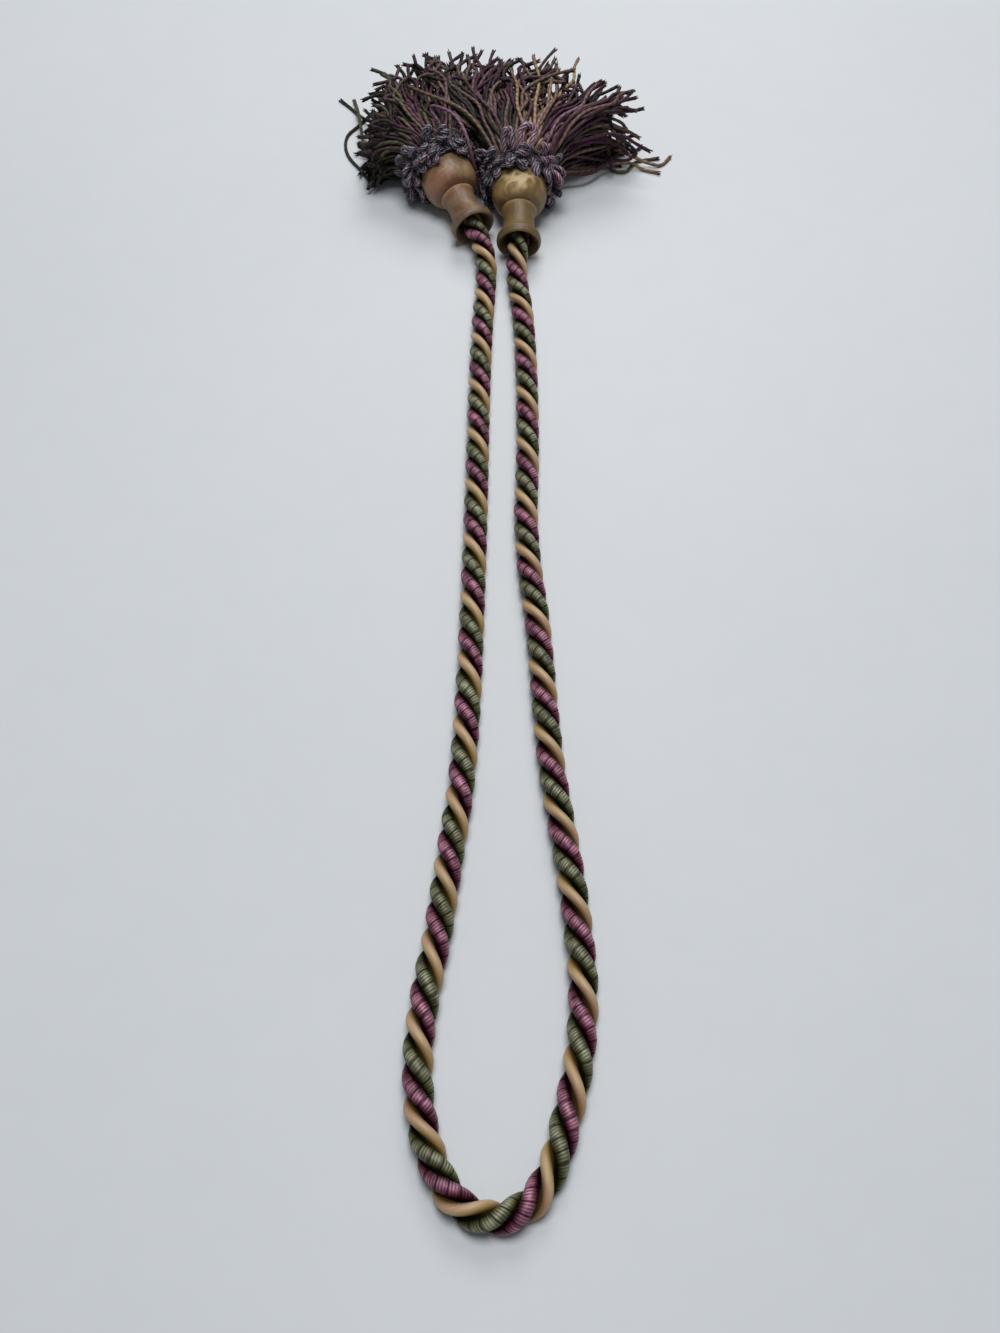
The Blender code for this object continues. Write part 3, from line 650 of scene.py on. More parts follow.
def gimp_material(strand):
    """A strand wound with a band of fine yarns: a dark line of painted shade each turn, ridges
    between, a painted highlight on its crown and painted shade in its grooves and between its
    yarns.
    """
    deep, light, painted_highlight = GIMPS[strand]
    sh = Shader(strand + "_gimp", 0.45, Sheen_Weight=0.06, Sheen_Roughness=0.35)
    along, around = sh.along_around()
    # ridge: the single yarns; line: the dark edge of the band, a little uneven
    wind = sh.minus(sh.math("DIVIDE", along, WRAP_PITCH), around)
    strength = sh.scaled(sh.patches(450.0, 1.0), 1.6, 0.0, clamp=True)
    ridge = sh.times(sh.waves(wind, WRAP_YARNS), strength)
    uneven = sh.scaled(sh.patches(70.0, 1.0), 1.6, wind)
    line = sh.power(sh.waves(uneven, 1.0), 9.0)
    patch = sh.scaled(sh.patches(330.0, 2.0), 1.1, -0.32)
    tone = sh.scaled(sh.dye(), 0.5, patch, clamp=True)
    colour = sh.mix(tone, deep, light)
    # painted highlight along the outward side, broken by the ribs
    outward = sh.waves(around, 1.0)
    ribs = sh.scaled(sh.minus(1.0, ridge), RIBBED, 1.0 - RIBBED)
    crown = sh.times(sh.power(outward, 9.0), ribs)
    lit = sh.scaled(tone, 1.2, 0.05, clamp=True)
    colour = sh.mix(sh.times(crown, lit), colour, painted_highlight)
    # painted shade where the strand turns into the groove, at the band's edge and between the
    # yarns
    flank = sh.times(sh.minus(outward, 0.52), 3.2, clamp=True)
    edge = sh.scaled(line, -0.8, 1.0)
    valley = sh.scaled(ridge, -0.75 * RIBBED, 1.0)
    shade = sh.times(sh.times(flank, edge), valley)
    colour = sh.mix(shade, tuple(0.15 * c for c in deep), colour)
    height = sh.scaled(line, -1.0, sh.times(ridge, -0.5))
    return sh.finish(colour, height, 0.5, 0.00010, Specular_IOR_Level=sh.times(shade, 0.5))


def satin_material():
    """A smooth strand of floss, its fibres running along it, with a painted highlight on its crown
    and brown painted shade in the grooves.
    """
    sh = Shader("satin_floss", 0.42, Sheen_Weight=0.05, Sheen_Roughness=0.35)
    along, around = sh.along_around()
    twisted = sh.times(sh.scaled(along, 0.03, around), 34.0)
    fibres = sh.node("CombineXYZ", twisted, sh.times(along, 0.16), 0.0)
    floss = sh.noise(fibres.outputs[0], 1.0, 4.0, 0.6)
    patch = sh.scaled(sh.patches(110.0, 2.0), 0.7, -0.35)
    tone = sh.scaled(floss, 1.0, patch, clamp=True)
    gold = sh.mix(tone, (0.260, 0.150, 0.040), (0.590, 0.400, 0.175))
    rose = sh.mix(tone, (0.270, 0.120, 0.070), (0.560, 0.350, 0.215))
    one_side = sh.waves(sh.minus(around, 0.25), 1.0)
    colour = sh.mix(one_side, gold, rose)
    # painted highlight along the outward side
    outward = sh.waves(around, 1.0)
    painted_highlight = sh.times(sh.power(outward, 10.0), 0.3)
    colour = sh.mix(painted_highlight, colour, (0.72, 0.58, 0.36))
    # brown painted shade where the strand turns into the grooves
    flank = sh.times(sh.minus(outward, 0.50), 2.6, clamp=True)
    colour = sh.mix(flank, (0.060, 0.036, 0.006), colour)
    return sh.finish(colour, floss, 0.5, 0.00016, Specular_IOR_Level=sh.times(flank, 0.45))


def cord_material():
    """Two-ply cord in the dyes of the skirts, with painted shade between its plies, and darker at
    its cut end.
    """
    sh = Shader("skirt_cord_dyed", 0.6,
                Sheen_Weight=0.04, Sheen_Roughness=0.4, Specular_IOR_Level=0.22)
    along, around = sh.along_around()
    patch = sh.minus(sh.patches(170.0, 2.0), 0.5)
    base = sh.ramp(sh.scaled(patch, 0.05, sh.dye(), clamp=True), DYES)
    # painted shade between the two plies, mixed with a fine random tone
    wind = sh.minus(sh.math("DIVIDE", along, CORD_TWIST / 2.0), sh.times(around, 2.0))
    ply = sh.waves(wind, 1.0)
    fine = sh.scaled(sh.patches(1300.0, 2.0), 0.6, 0.20)
    level = sh.scaled(ply, 0.38, fine)
    from_tip = sh.math("DIVIDE", along, -16.0, clamp=True)
    level = sh.times(level, sh.scaled(from_tip, 0.5, 0.5))
    colour = sh.mix(level, (0.004, 0.002, 0.003), base)
    return sh.finish(colour, ply, 0.45, 0.00014)


def collar_material():
    """Variegated floss: each loop's dye drifts from plum and pink to slate along the yarn, with
    painted shade between its strands and painted highlights on them.
    """
    sh = Shader("collar_floss_dyed", 0.40, Sheen_Weight=0.10, Sheen_Roughness=0.4)
    along, around = sh.along_around()
    patch = sh.minus(sh.patches(260.0, 2.0), 0.5)
    base = sh.ramp(sh.scaled(patch, 0.3, sh.dye(), clamp=True), COLLAR_RAMP)
    # painted shade between the strands round the yarn, mixed with a fine random tone
    strand = sh.waves(sh.scaled(along, FLOSS_TWIST, around), FLOSS_LOBES)
    fine = sh.scaled(sh.patches(1500.0, 2.0), 0.5, -0.20)
    level = sh.scaled(strand, 0.80, fine, clamp=True)
    colour = sh.mix(level, (0.008, 0.004, 0.008), base)
    # painted highlight in patches along the strands' crowns
    lit = sh.times(sh.power(sh.patches(420.0, 1.0), 2.0), 1.3)
    painted_highlight = sh.times(sh.power(strand, 3.0), lit, clamp=True)
    colour = sh.mix(painted_highlight, colour, (0.72, 0.62, 0.72))
    return sh.finish(colour, strand, 0.5, 0.0002)


def wood_material(name, dark, middle, light, stain, painted_glint_strength):
    """Turned wood under a thin lacquer: soft grain, painted shade inside, in the crease and
    towards neck and flange, worn edges lightened with painted highlight, and a painted glint on
    the bulb.
    """
    sh = Shader(name, 0.4, Coat_Weight=0.2, Coat_Roughness=0.38)
    along, around = sh.along_around()
    turn = sh.times(around, 2.0 * math.pi)
    ring = sh.node("CombineXYZ", sh.math("COSINE", turn), sh.math("SINE", turn),
                   sh.times(along, 0.06))
    grain = sh.noise(ring.outputs[0], 5.0, 4.0, 0.6)
    blotch = sh.patches(130.0, 3.0, 0.5)
    tone = sh.scaled(grain, 0.4, sh.times(blotch, 0.6))
    colour = sh.ramp(tone, ((0.34, dark), (0.50, middle), (0.66, light)))
    spot = sh.times(sh.minus(sh.patches(75.0, 1.0), 0.53), 7.0, clamp=True)
    colour = sh.mix(sh.times(spot, 0.7), colour, stain)
    # painted glint on the top of the bulb, broken into pale crackle-like veins
    off = sh.math("ABSOLUTE", sh.minus(along, PAINTED_GLINT_PLACE))
    near = sh.minus(1.0, sh.times(off, 1.0 / PAINTED_GLINT_REACH), clamp=True)
    crown = sh.times(sh.power(sh.waves(around, 1.0), 7.0), near)
    vein = sh.math("ABSOLUTE", sh.minus(sh.patches(190.0, 1.0), 0.5))
    vein = sh.minus(1.0, sh.times(vein, 11.0), clamp=True)
    painted_glint = sh.times(sh.times(crown, vein), painted_glint_strength, clamp=True)
    colour = sh.mix(painted_glint, colour, (0.62, 0.44, 0.22))
    # painted shade towards the neck, and deeper painted shade at the flange
    neck = sh.scaled(along, -0.5, 6.8, clamp=True)
    colour = sh.mix(sh.times(neck, 0.3), colour, dark)
    flange = sh.scaled(along, -1.0, 3.6, clamp=True)
    colour = sh.mix(sh.times(flange, 0.7), colour, tuple(0.45 * c for c in dark))
    # worn edges, lightened also as painted highlight where they catch the light
    wear_and_painted_light = sh.dye()
    worn_and_highlit = sh.times(wear_and_painted_light, sh.patches(500.0, 2.0), clamp=True)
    colour = sh.mix(worn_and_highlit, colour, tuple(1.7 * c for c in light))
    # painted shade inside the mouth and bore and in the crease below the bulb
    inside = sh.times(wear_and_painted_light, -0.75, clamp=True)
    colour = sh.mix(inside, colour, (0.085, 0.054, 0.024))
    rough = sh.scaled(sh.patches(240.0, 3.0), 0.3, 0.36)
    return sh.finish(colour, tone, 0.5, 0.0009, Roughness=rough)


def table_material():
    """Pale painted board with a faint unevenness."""
    sh = Shader("pale_table", 0.55)
    fine = sh.patches(90.0, 3.0)
    tone = sh.scaled(sh.patches(5.0, 3.0), 0.7, sh.times(fine, 0.3))
    colour = sh.mix(tone, (0.600, 0.625, 0.645), (0.690, 0.710, 0.730))
    return sh.finish(colour, fine, 0.04, 0.0003)


# ---------------------------------------------------------------- rope
def rope_frames(step):
    """Points along the rope with their across and up directions, and their arc places."""
    line = smooth_curve(ROPE_ROUTE, step)
    ahead = unit_rows(np.gradient(line, axis=0))
    across = unit_rows(np.cross(ahead, [0.0, 0.0, 1.0]))
    up = np.cross(across, ahead)
    return line, across, up, arc_length(line)


def lay_strand(batch, name, material):
    """One of the three strands, laid left-handed; its wrapping yarn sits in uneven turns."""
    share, half_width, half_depth, step, wrapped = STRANDS[name]
    line, across, up, arc = rope_frames(step)
    places, turns = zip(*LAY_MARKS)
    angle = 2.0 * math.pi * (share - np.interp(arc, places, turns))
    radial = np.cos(angle)[:, None] * up + np.sin(angle)[:, None] * across
    centre = line + (ROPE_RADIUS - half_depth) * radial
    ahead = unit_rows(np.gradient(centre, axis=0))
    outward = unit_rows(radial - (radial * ahead).sum(axis=1)[:, None] * ahead)
    sideways = np.cross(ahead, outward)
    along = arc_length(centre)
    theta = full_turn(STRAND_SIDES)
    swell = np.ones((len(line), STRAND_SIDES))
    tone = np.full((len(line), STRAND_SIDES), 0.5)
    if wrapped:
        rng = np.random.default_rng(len(name))
        wind = along[:, None] / WRAP_PITCH - theta[None] / (2.0 * math.pi)
        each = np.floor(wind).astype(int) + 1
        depth = rng.uniform(0.0, 1.5, each.max() + 1)[each]
        tone = rng.uniform(0.1, 0.9, each.max() + 1)[each]
        swell -= WRAP_DIP * depth * (0.5 + 0.5 * np.cos(2.0 * math.pi * wind)) ** 8
        swell += YARN_DIP * np.cos(2.0 * math.pi * WRAP_YARNS * (wind + 0.5 / WRAP_YARNS))
    rings = (centre[:, None]
             + half_depth * (swell * np.cos(theta))[:, :, None] * outward[:, None]
             + half_width * (swell * np.sin(theta))[:, :, None] * sideways[:, None])
    rings[:, :, 2] = np.maximum(rings[:, :, 2], LOWEST)
    batch.rings(rings, along, material, tone)


def build_rope():
    batch = Batch()
    for place, name in enumerate(STRANDS):
        lay_strand(batch, name, place)
    materials = [satin_material(), gimp_material("plum"), gimp_material("olive")]
    rope = batch.build("rope_strands", materials)
    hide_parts("rope")
    route = to_frame(smooth_curve(ROPE_ROUTE, PATH_STEP))


# ---------------------------------------------------------------- heads
def turned_profile():
    """The head's profile with its round stretches smoothed between crisp edges, and its wear and
    painted light.
    """
    fine = []
    run = [HEAD_PROFILE[0]]
    for row in HEAD_PROFILE[1:]:
        run.append(row)
        if row[2]:
            pts = np.array([(along, radius, wear_and_painted_light) for along, radius, crisp, wear_and_painted_light in run])
            curve = smooth_curve(pts, HEAD_STEP) if len(pts) > 2 else pts
            fine.append(curve[:-1])
            run = [row]
    fine.append([[HEAD_PROFILE[-1][0], HEAD_PROFILE[-1][1], HEAD_PROFILE[-1][3]]])
    fine = np.vstack(fine)
    return fine[:, :2], fine[:, 2]


def build_head(side):
    profile, wear_and_painted_light = turned_profile()
    rings = turned_rings(side, profile, HEAD_SIDES)
    rings[:, :, 2] = np.maximum(rings[:, :, 2], 0.0)
    batch = Batch()
    batch.rings(rings, profile[:, 0], 0, wear_and_painted_light)
    head = batch.build("turned_head_" + side, [wood_material(*WOODS[side])])
    head.data.set_sharp_from_angle(angle=math.radians(SHARP_ANGLE))
    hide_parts("head_" + side)


# ---------------------------------------------------------------- collars
def ring_point(head, angle, along, radius):
    """Points round a head: angle from its top in radians, then millimetres."""
    origin, axis, across, up = head
    return origin + along[:, None] * axis + radius[:, None] * spokes(angle, up, across)


def yarn_tube(batch, line, radius, sides, dye, step, lobed=0.0):
    """A soft yarn along a line, thinner at its two ends; its dye is given at both."""
    line = smooth_curve(line, step)
    line[:, 2] = np.maximum(line[:, 2], radius)
    theta = full_turn(sides)
    share = np.linspace(0.0, 1.0, len(line))
    swell = 0.62 + 0.48 * np.sin(math.pi * share) ** 0.5
    along = arc_length(line)
    lobe = np.cos(FLOSS_LOBES * (theta[None] + 2.0 * math.pi * FLOSS_TWIST * along[:, None]))
    thick = radius * swell[:, None] * (1.0 + lobed * lobe)
    rings = line[:, None] + thick[:, :, None] * spokes(theta, *carried_frames(line))
    batch.rings(rings, along, 0, np.linspace(dye[0], dye[1], len(line)))


def floss_loop(batch, head, rng, angle, foot, tip, width, lean, radius, dye, arched=False):
    """One loop of floss from its foot out to its tip and back, both as (along, radius)."""
    t = np.linspace(0.0, 1.0, 11)
    if arched:
        reach = np.sin(math.pi * t) ** 0.75
        spread = width * np.cos(math.pi * t) * (0.7 + 0.3 * np.sin(math.pi * t))
    else:
        reach = np.sin(math.pi * t)
        spread = 1.3 * width * np.sin(2.0 * math.pi * t) * np.sin(math.pi * t) ** 0.7
    along = foot[0] + (tip[0] - foot[0]) * reach
    out = foot[1] + (tip[1] - foot[1]) * reach
    turn = angle + (spread + lean * reach) / LOOP_ROUND
    wobble = rng.normal(0.0, LOOP_WOBBLE, (3, len(t)))
    line = ring_point(head, turn + wobble[0] / LOOP_ROUND, along + wobble[1], out + wobble[2])
    shade = np.clip(dye + rng.normal(0.0, LOOP_DYE_SCATTER, 2), 0.0, 1.0)
    yarn_tube(batch, line, radius, FLOSS_SIDES, shade, 0.5, FLOSS_DEPTH)


def wind_band(batch, head, rng):
    """The dark yarns wound round the head under the loops."""
    turn = np.linspace(0.0, 2.0 * math.pi, 60)
    for wrap in range(BAND_WRAPS):
        along = BAND_BACK + wrap * (COLLAR_FRONT - BAND_BACK) / BAND_STEPS
        along = along + BAND_WANDER * np.sin(5.0 * turn + wrap)
        radius = BAND_RADIUS + BAND_WANDER * np.sin(9.0 * turn + 2.0 * wrap)
        shade = rng.uniform(0.0, 0.12)
        line = ring_point(head, turn, along, radius)
        yarn_tube(batch, line, BAND_YARN, 6, (shade, shade), 0.9)


def loop_row(batch, side, row, head, rng):
    """One row of loops round the collar, left out beside a tall arch."""
    loops, foot, tip, width, thick = COLLAR_ROWS[row]
    places, dyes = zip(*COLLAR_DYES[(side, row)])
    flat_from, flat_to = FLAT_ROUND[side]
    arches = [degrees for place, degrees, *_ in ARCHES if place == side]
    for i in range(loops):
        degrees = 360.0 * (i + 0.5 + rng.uniform(-0.25, 0.25)) / loops - 180.0
        beside_arch = any(abs(degrees - arch) < BESIDE_ARCH for arch in arches)
        if beside_arch and row in ("upright", "over the cords"):
            continue
        end = np.array(tip) + np.clip(rng.normal(0.0, LOOP_REACH, 2), *LOOP_LIMITS)
        if flat_from < degrees < flat_to and row != "over the bulb":
            end = np.array(foot) + FLAT_SHARE * (end - foot)
        dye = np.interp(degrees, places, dyes) + rng.normal(0.0, ROW_DYE_SCATTER)
        half_width = width * rng.uniform(*LOOP_WIDTHS)
        lean = rng.normal(0.0, LOOP_LEAN)
        radius = thick * rng.uniform(*LOOP_YARNS)
        angle = math.radians(degrees)
        floss_loop(batch, head, rng, angle, foot, end, half_width, lean, radius, dye)


def loose_fibres(batch, head, rng):
    """Short ends of fibre that stand off the collar all round."""
    for _ in range(LOOP_FIBRES):
        angle = rng.uniform(0.0, 2.0 * math.pi)
        start = np.array([rng.uniform(*FIBRE_ALONG), rng.uniform(*FIBRE_OUT)])
        ends = np.stack([start, start + rng.normal(0.0, 0.5, 2), start + rng.normal(0.1, 1.1, 2)])
        turns = angle + np.array([0.0, rng.normal(0.0, 0.04), rng.normal(0.0, 0.11)])
        shade = rng.uniform(0.3, 0.9)
        line = ring_point(head, turns, ends[:, 0], ends[:, 1])
        yarn_tube(batch, line, FIBRE_RADIUS, 3, (shade, shade), 0.6)


def build_collar(side, material):
    head = head_frame(side)
    rng = np.random.default_rng(COLLAR_SEEDS[side])
    batch = Batch()
    wind_band(batch, head, rng)
    for row in COLLAR_ROWS:
        loop_row(batch, side, row, head, rng)
    for place, degrees, foot, tip, width, dye in ARCHES:
        if place == side:
            floss_loop(batch, head, rng, math.radians(degrees), foot, tip, width, 0.0, ARCH_YARN,
                       dye, arched=True)
    loose_fibres(batch, head, rng)
    collar = batch.build("looped_collar_" + side, [material])
    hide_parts("collar_" + side)


# ---------------------------------------------------------------- skirts
def cord_line(root, heading, climb, fall, length, bend, wave):
    """Centreline of a cord that leaves at `climb` and bends over to `fall` below level."""
    fine = 6
    steps = (CORD_POINTS - 1) * fine
    size, turns, start = wave
    swing, nod, arc = bend
    point = np.array(root, float)
    line = [point.copy()]
    for k in range(steps):
        s = (k + 0.5) / steps
        swell = math.sin(2.0 * math.pi * turns * s + start)
        bob = math.cos(2.0 * math.pi * turns * s + start)
        rise = climb - (climb + fall) * s + nod * s ** 3 + 0.45 * size * bob * s
        turn = heading + arc * (s - 0.45) + swing * s ** 3 + size * swell * s
        step = np.array([
            math.cos(rise) * math.sin(turn),
            math.cos(rise) * math.cos(turn),
            math.sin(rise),
        ])
        if point[2] <= FLOOR_LEVEL and step[2] < 0.0:
            step = np.array([math.sin(turn), math.cos(turn), 0.0])
        point = point + step * length / steps
        point[2] = max(point[2], FLOOR_LEVEL)
        if (k + 1) % fine == 0:
            line.append(point.copy())
    return np.array(line)


def pick_dye(rng, side, half):
    places, shares = zip(*DYE_SHARES[(side, half)])
    shares = np.array(shares) / sum(shares)
    dye = rng.choice(places, p=shares) + rng.normal(0.0, DYE_SCATTER)
    return float(np.clip(dye, 0.0, 1.0))


def fan_cord(rng, side, i):
    """Cord number i of a skirt as it fans out, before the cords press on each other."""
    origin, axis, across, up = head_frame(side)
    face = origin + (BACKING_FRONT - ROOT_DEPTH) * axis
    headings, reaches = zip(*SKIRTS[side])
    outer_sign = -1.0 if side == "left" else 1.0
    # root: x across and y up, as shares of the backing's radius
    rho = math.sqrt((i + 0.5) / CORDS_PER_SKIRT)
    theta = i * GOLDEN_TURN
    x = rho * math.cos(theta)
    y = rho * math.sin(theta)
    root = face + ROOT_RADIUS * (x * across + y * up)
    half = "outer" if x * outer_sign > 0.0 else "inner"
    # the share of the cords that lie further left sets the heading, so they fan out evenly
    place = 0.5 + (x * math.sqrt(1.0 - x * x) + math.asin(x)) / math.pi
    heading = headings[0] + (headings[-1] - headings[0]) * place
    calm = 1.0 - RIM_CALM * abs(x) ** 1.5
    heading += calm * rng.normal(0.0, HEADING_SCATTER)
    # slopes in degrees: up at the root, down at the tip
    rim_climb, rim_fall = RIM_BEND[half]
    hump = abs(x) ** 1.3 * min(max(y + 0.8, 0.0), 1.0) * (1.15 - 0.7 * max(y, 0.0))
    climb = LEVEL_CLIMB + CLIMB_OVER_HEIGHT * y + rim_climb * hump
    climb += rng.normal(0.0, CLIMB_SCATTER)
    low = min(max(LOW_SHARE - y, 0.0), 1.0)
    fall = LEVEL_FALL + rim_fall * abs(x) ** 1.2 * (HIGH_FALL + (1.0 - HIGH_FALL) * low)
    fall += rng.normal(0.0, FALL_SCATTER)
    if y < FOOT:
        climb = min(climb, FOOT_CLIMB)
        fall = min(fall, FOOT_FALL)
    climb = math.radians(climb)
    fall = math.radians(fall)
    # reach seen from above, and the length that gives it
    level = (math.sin(climb) + math.sin(fall)) / (climb + fall)
    reach = np.interp(heading, headings, reaches) - ROOT_RADIUS * abs(x)
    least, most = REACH_SCATTER
    least -= HIGH_SHORTER * max(y, 0.0)
    reach *= least + (most - least) * rng.uniform() ** 0.6
    reach *= 1.0 + LOW_LONGER * (1.0 - x * x) * max(0.4 - y, 0.0)
    swing = calm * math.radians(rng.normal(0.0, SWING_SCATTER))
    nod = calm * math.radians(rng.normal(0.0, TIP_NOD))
    arc = math.radians(outer_sign * RIM_ARC[side] * abs(x) ** 1.5) if half == "outer" else 0.0
    length = min(reach / level, LONGEST_CORD)
    wave = (calm * rng.uniform(*WAVE_SIZE), rng.uniform(*WAVE_TURNS), rng.uniform(0.0, 6.28))
    bend = (swing, nod, arc)
    line = cord_line(root, math.radians(heading), climb, fall, length, bend, wave)
    dye = pick_dye(rng, side, half)
    where_tan = side == "right" and y > TAN_ABOVE and TAN_WIDE[0] < x < TAN_WIDE[1]
    if where_tan and rng.uniform() < TAN_SHARE:
        dye = rng.uniform(*TAN_DYES)
    return Cord(side, line, False, dye)


def stray_cord(side, angle, dye, bends):
    """A cord that shows singly in the photo, held where its bends were placed."""
    origin, axis, across, up = head_frame(side)
    face = origin + (BACKING_FRONT - ROOT_DEPTH) * axis
    turn = math.radians(angle)
    outward = ROOT_RADIUS * (math.sin(turn) * across + math.cos(turn) * up)
    root = face + outward
    lead = face + STRAY_LEAD * axis + 1.06 * outward
    return Cord(side, np.vstack([[root], [lead], bends]), True, dye)


def first_layout():
    """Every cord before the cords press on each other."""
    rng = np.random.default_rng(LAYOUT_SEED)
    cords = [fan_cord(rng, side, i) for side in SKIRTS for i in range(CORDS_PER_SKIRT)]
    return cords + [stray_cord(*row) for row in STRAYS.values()]


def settle(cords):
    """Push crossing cords apart, keeping their lengths and roots, off the table and collars."""
    sizes = [len(cord.line) for cord in cords]
    start = np.concatenate([[0], np.cumsum(sizes)])
    pts = np.vstack([cord.line for cord in cords])
    rest = pts.copy()
    level = np.concatenate([np.arange(n) for n in sizes])
    owner = np.repeat(np.arange(len(cords)), sizes)
    still = np.array([cord.still for cord in cords])[owner]
    loose = (~still & (level > 0)).astype(float)
    # first: the point that starts each segment; steps: segments of one rank from the roots out
    first = np.concatenate([np.arange(start[i], start[i + 1] - 1) for i in range(len(cords))])
    length = np.linalg.norm(pts[first + 1] - pts[first], axis=1)
    ranks = level[first]
    steps = [(first[ranks == k], length[ranks == k]) for k in range(max(sizes) - 1)]
    frames = [head_frame(side) for side in SKIRTS]
    near = None
    for count in range(SETTLE_ROUNDS):
        if count % 5 == 0:
            near = close_pairs(pts[first], pts[first + 1], owner[first])
        pts = press_apart(pts, first, near, loose)
        if count < SETTLE_ROUNDS // 2:
            pts = pts + SHAPE_MEMORY * (loose * (level > 1))[:, None] * (rest - pts)
        for head in frames:
            pts = lift_off_collar(pts, head, loose)
        pts[:, 2] = np.maximum(pts[:, 2], FLOOR_LEVEL)
        for seg, size in steps:
            keep_lengths(pts, seg, size, loose)
    return [pts[start[i]:start[i + 1]] for i in range(len(cords))]


def press_apart(pts, first, near, loose):
    """Move the segments that lie closer than the cords' spacing away from each other."""
    i, j = near
    gap, s, t = segment_gap(pts[first[i]], pts[first[i] + 1], pts[first[j]], pts[first[j] + 1])
    dist = np.linalg.norm(gap, axis=1)
    hit = dist < CORD_SPACING
    i, j, s, t, gap, dist = i[hit], j[hit], s[hit], t[hit], gap[hit], dist[hit]
    away = gap / np.maximum(dist, 1e-6)[:, None]
    wi = np.maximum(loose[first[i]], loose[first[i] + 1])
    wj = np.maximum(loose[first[j]], loose[first[j] + 1])
    share = (CORD_SPACING - dist) / np.maximum(wi + wj, 1e-6)
    move = np.zeros_like(pts)
    load = np.zeros(len(pts))
    for seg, way, weight, part in ((i, 1.0, wi, s), (j, -1.0, wj, t)):
        push = (way * weight * share)[:, None] * away
        for end, blend in ((0, 1.0 - part), (1, part)):
            np.add.at(move, first[seg] + end, push * blend[:, None])
            np.add.at(load, first[seg] + end, blend)
    return pts + loose[:, None] * move / np.maximum(load, 1.0)[:, None] ** 0.6


def lift_off_collar(pts, head, loose):
    """Move the loose points that lie in a collar's loops forwards, off them."""
    origin, axis, _, _ = head
    along = (pts - origin) @ axis
    radial = pts - origin - along[:, None] * axis
    lift = np.clip(COLLAR_FRONT + COLLAR_MARGIN - along, 0.0, COLLAR_LIFT)
    inside = (along < COLLAR_FRONT + COLLAR_MARGIN) & (along > COLLAR_FREE_UPTO)
    inside = inside & (np.linalg.norm(radial, axis=1) < COLLAR_REACH)
    return pts + (inside * loose * lift)[:, None] * axis


def keep_lengths(pts, seg, size, loose):
    """Bring the far ends of these segments back to their lengths, between floor and top."""
    far = pts[seg + 1] - pts[seg]
    keep = size / np.maximum(np.linalg.norm(far, axis=1), 1e-6)
    moved = pts[seg] + far * keep[:, None]
    moved[:, 2] = np.clip(moved[:, 2], FLOOR_LEVEL, SKIRT_TOP)
    free = loose[seg + 1][:, None]
    pts[seg + 1] = free * moved + (1.0 - free) * pts[seg + 1]


def close_pairs(one, two, seg_owner):
    """Pairs of segments of different cords that could touch."""
    mid = (one + two) / 2
    half = np.linalg.norm(two - one, axis=1) / 2
    farthest = 2.0 * half.max() + CORD_SPACING + SEARCH_MARGIN
    order = np.argsort(mid[:, 0])
    places = mid[order, 0]
    found_i = []
    found_j = []
    for low in range(0, len(mid), 200):
        part = order[low:low + 200]
        high = np.searchsorted(places, mid[part[-1], 0] + farthest)
        other = order[low:high]
        apart = np.linalg.norm(mid[part, None] - mid[None, other], axis=2)
        touching = half[part, None] + half[None, other] + CORD_SPACING + SEARCH_MARGIN
        i, j = np.nonzero(apart < touching)
        keep = (i < j) & (seg_owner[part[i]] != seg_owner[other[j]])
        found_i.append(part[i[keep]])
        found_j.append(other[j[keep]])
    return np.concatenate(found_i), np.concatenate(found_j)


def segment_gap(p, p_end, q, q_end):
    """Shortest vector between two segments, and where it stands on each."""
    d1 = p_end - p
    d2 = q_end - q
    r = p - q
    a = (d1 * d1).sum(axis=1)
    e = (d2 * d2).sum(axis=1)
    f = (d2 * r).sum(axis=1)
    c = (d1 * r).sum(axis=1)
    b = (d1 * d2).sum(axis=1)
    den = a * e - b * b
    s = np.where(den > 1e-9, np.clip((b * f - c * e) / np.maximum(den, 1e-9), 0.0, 1.0), 0.5)
    t = np.clip((b * s + f) / e, 0.0, 1.0)
    s = np.clip((b * t - c) / a, 0.0, 1.0)
    return (p + d1 * s[:, None]) - (q + d2 * t[:, None]), s, t


def cord_tube(batch, line, dye, rng):
    """A two-ply cord with a frayed cut end."""
    line = smooth_curve(line, CORD_STEP)
    line[:, 2] = np.maximum(line[:, 2], FLOOR_LEVEL)
    side, other = carried_frames(line)
    along = arc_length(line)
    theta = full_turn(CORD_SIDES)
    turns = along[:, None] / (CORD_TWIST / 2.0) - 2.0 * theta[None] / (2.0 * math.pi)
    radius = CORD_RADIUS * (1.0 + PLY_DEPTH * np.cos(2.0 * math.pi * turns))
    radius[-2:] *= TIP_FLARE
    rings = line[:, None] + radius[:, :, None] * spokes(theta, side, other)
    rings[:, :, 2] = np.maximum(rings[:, :, 2], LOWEST)
    drift = dye + rng.normal(0.0, 0.012) + 0.02 * np.sin(along / 9.0 + rng.uniform(0.0, 6.0))
    batch.rings(rings, along - along[-1], 0, np.clip(drift, 0.0, 1.0))
    fray(batch, line[-1], unit(line[-1] - line[-3]), side[-1], other[-1], dye, rng)


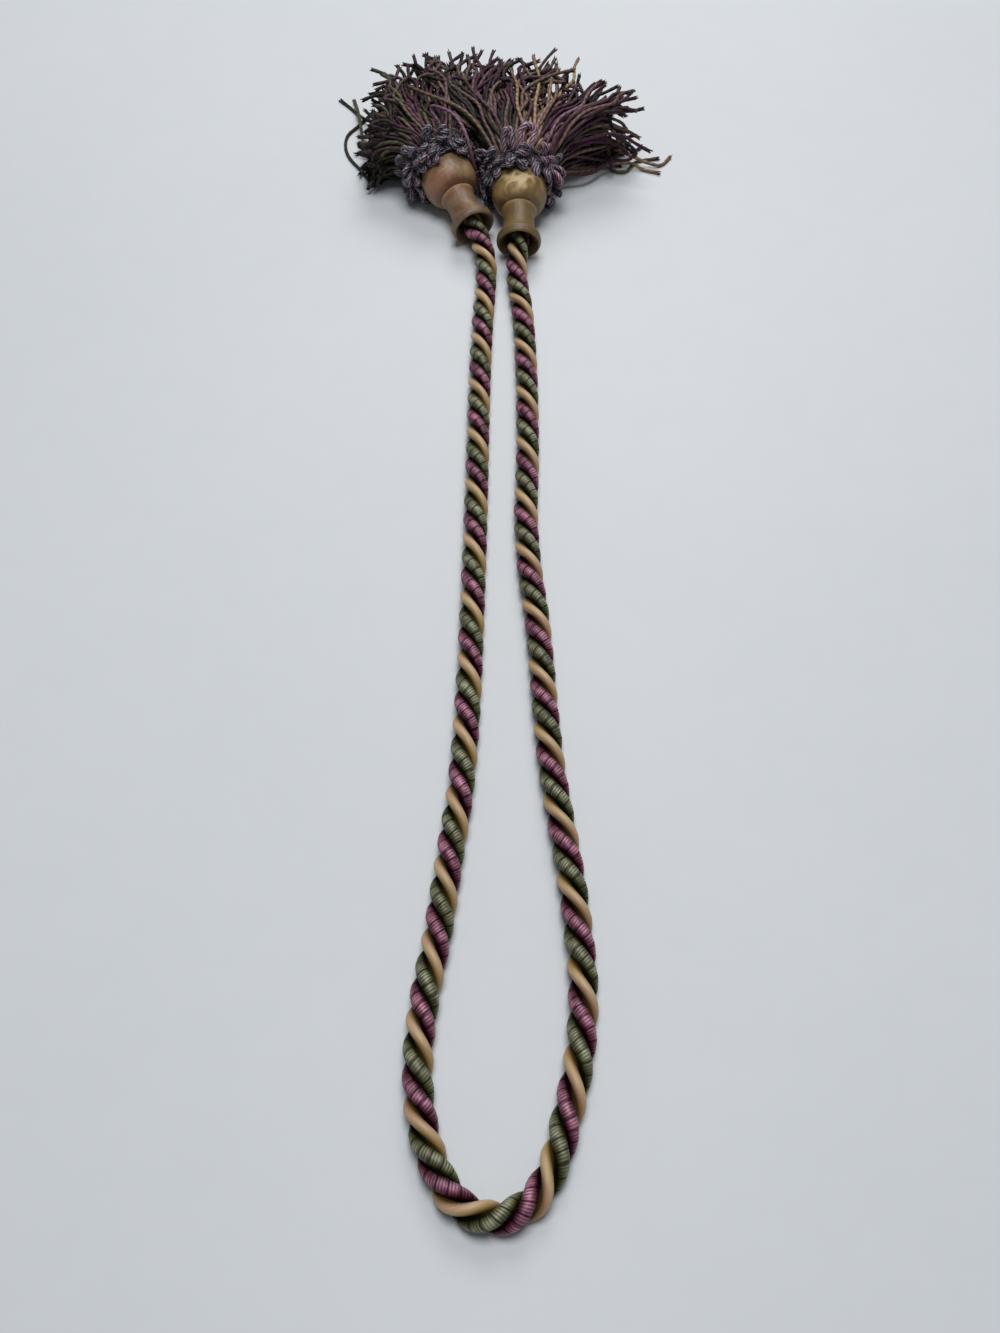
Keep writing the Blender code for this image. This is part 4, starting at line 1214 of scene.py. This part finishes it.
def fray(batch, tip, ahead, side, other, dye, rng):
    """The fibres that spread from a cord's cut end, darker than the cord unless it is tan."""
    shade = max(dye - 0.1, 0.0) if dye < 0.8 else dye
    ring = spokes(full_turn(3), side, other)
    for fibre in range(FRAY_FIBRES):
        turn = 2.0 * math.pi * (fibre + rng.uniform(0.0, 0.7)) / FRAY_FIBRES
        lean = math.cos(turn) * side + math.sin(turn) * other
        size = rng.uniform(0.6, 1.4)
        ends = np.vstack([
            tip + 0.3 * lean - 0.4 * ahead,
            tip + 0.5 * size * ahead + (0.28 + 0.15 * size) * lean,
            tip + size * ahead + (0.28 + rng.uniform(0.1, 0.45) * size) * lean,
        ])
        ends[:, 2] = np.maximum(ends[:, 2], 0.2)
        rings = ends[:, None] + FRAY_RADII[:, None, None] * ring[None]
        batch.rings(rings, np.array([0.0, 1.0, 2.0]), 0, np.full(3, shade))


def build_skirts():
    cords = first_layout()
    lines = settle(cords)
    rng = np.random.default_rng(FRAY_SEED)
    material = cord_material()
    for side in SKIRTS:
        batch = Batch()
        batch.rings(turned_rings(side, BACKING, BACKING_SIDES), BACKING[:, 0], 0, 0.02)
        for cord, line in zip(cords, lines):
            if cord.side == side:
                cord_tube(batch, line, cord.dye, rng)
        skirt = batch.build("cord_skirt_" + side, [material])
        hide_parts("skirt_" + side)


# ---------------------------------------------------------------- table, light, camera
def build_stage():
    mesh = bpy.data.meshes.new("table_top")
    low, high = -TABLE_HALF, TABLE_HALF
    corners = ((low, low, 0.0), (high, low, 0.0), (high, high, 0.0), (low, high, 0.0))
    mesh.from_pydata(corners, [], [(0, 1, 2, 3)])
    mesh.materials.append(table_material())
    table = bpy.data.objects.new("table_top", mesh)
    bpy.context.scene.collection.objects.link(table)


def add_light(name, place, target, size, power, colour):
    """A round area light aimed at the target."""
    light = bpy.data.lights.new(name, "AREA")
    light.shape = "DISK"
    light.size = size
    light.energy = power
    light.color = colour
    ob = bpy.data.objects.new(name, light)
    ob.location = place
    aim = unit(np.array(target) - np.array(place))
    ob.rotation_euler = (math.acos(-aim[2]), 0.0, math.atan2(aim[0], -aim[1]) + math.pi)
    bpy.context.scene.collection.objects.link(ob)


def build_light():
    world = bpy.data.worlds.new("soft_room")
    world.use_nodes = True
    background = world.node_tree.nodes["Background"]
    background.inputs["Color"].default_value = ROOM_COLOUR
    background.inputs["Strength"].default_value = ROOM_STRENGTH
    bpy.context.scene.world = world
    bpy.context.scene.view_settings.view_transform = "Standard"
    for row in LIGHTS:
        add_light(*row)


def build_camera():
    data = bpy.data.cameras.new("photo_view")
    data.sensor_width = SENSOR
    data.lens = SENSOR * CAMERA_FOCUS / IMAGE_HEIGHT
    data.clip_start = 0.01
    camera = bpy.data.objects.new("photo_view", data)
    camera.location = to_frame(CAMERA_PLACE)
    camera.rotation_euler = (math.radians(90.0 - CAMERA_PITCH), 0.0, 0.0)
    bpy.context.scene.collection.objects.link(camera)
    bpy.context.scene.camera = camera


def main():
    build_camera()
    build_light()
    build_stage()
    build_rope()
    gimp = collar_material()
    for side in HEADS:
        build_head(side)
        build_collar(side, gimp)
    build_skirts()


main()
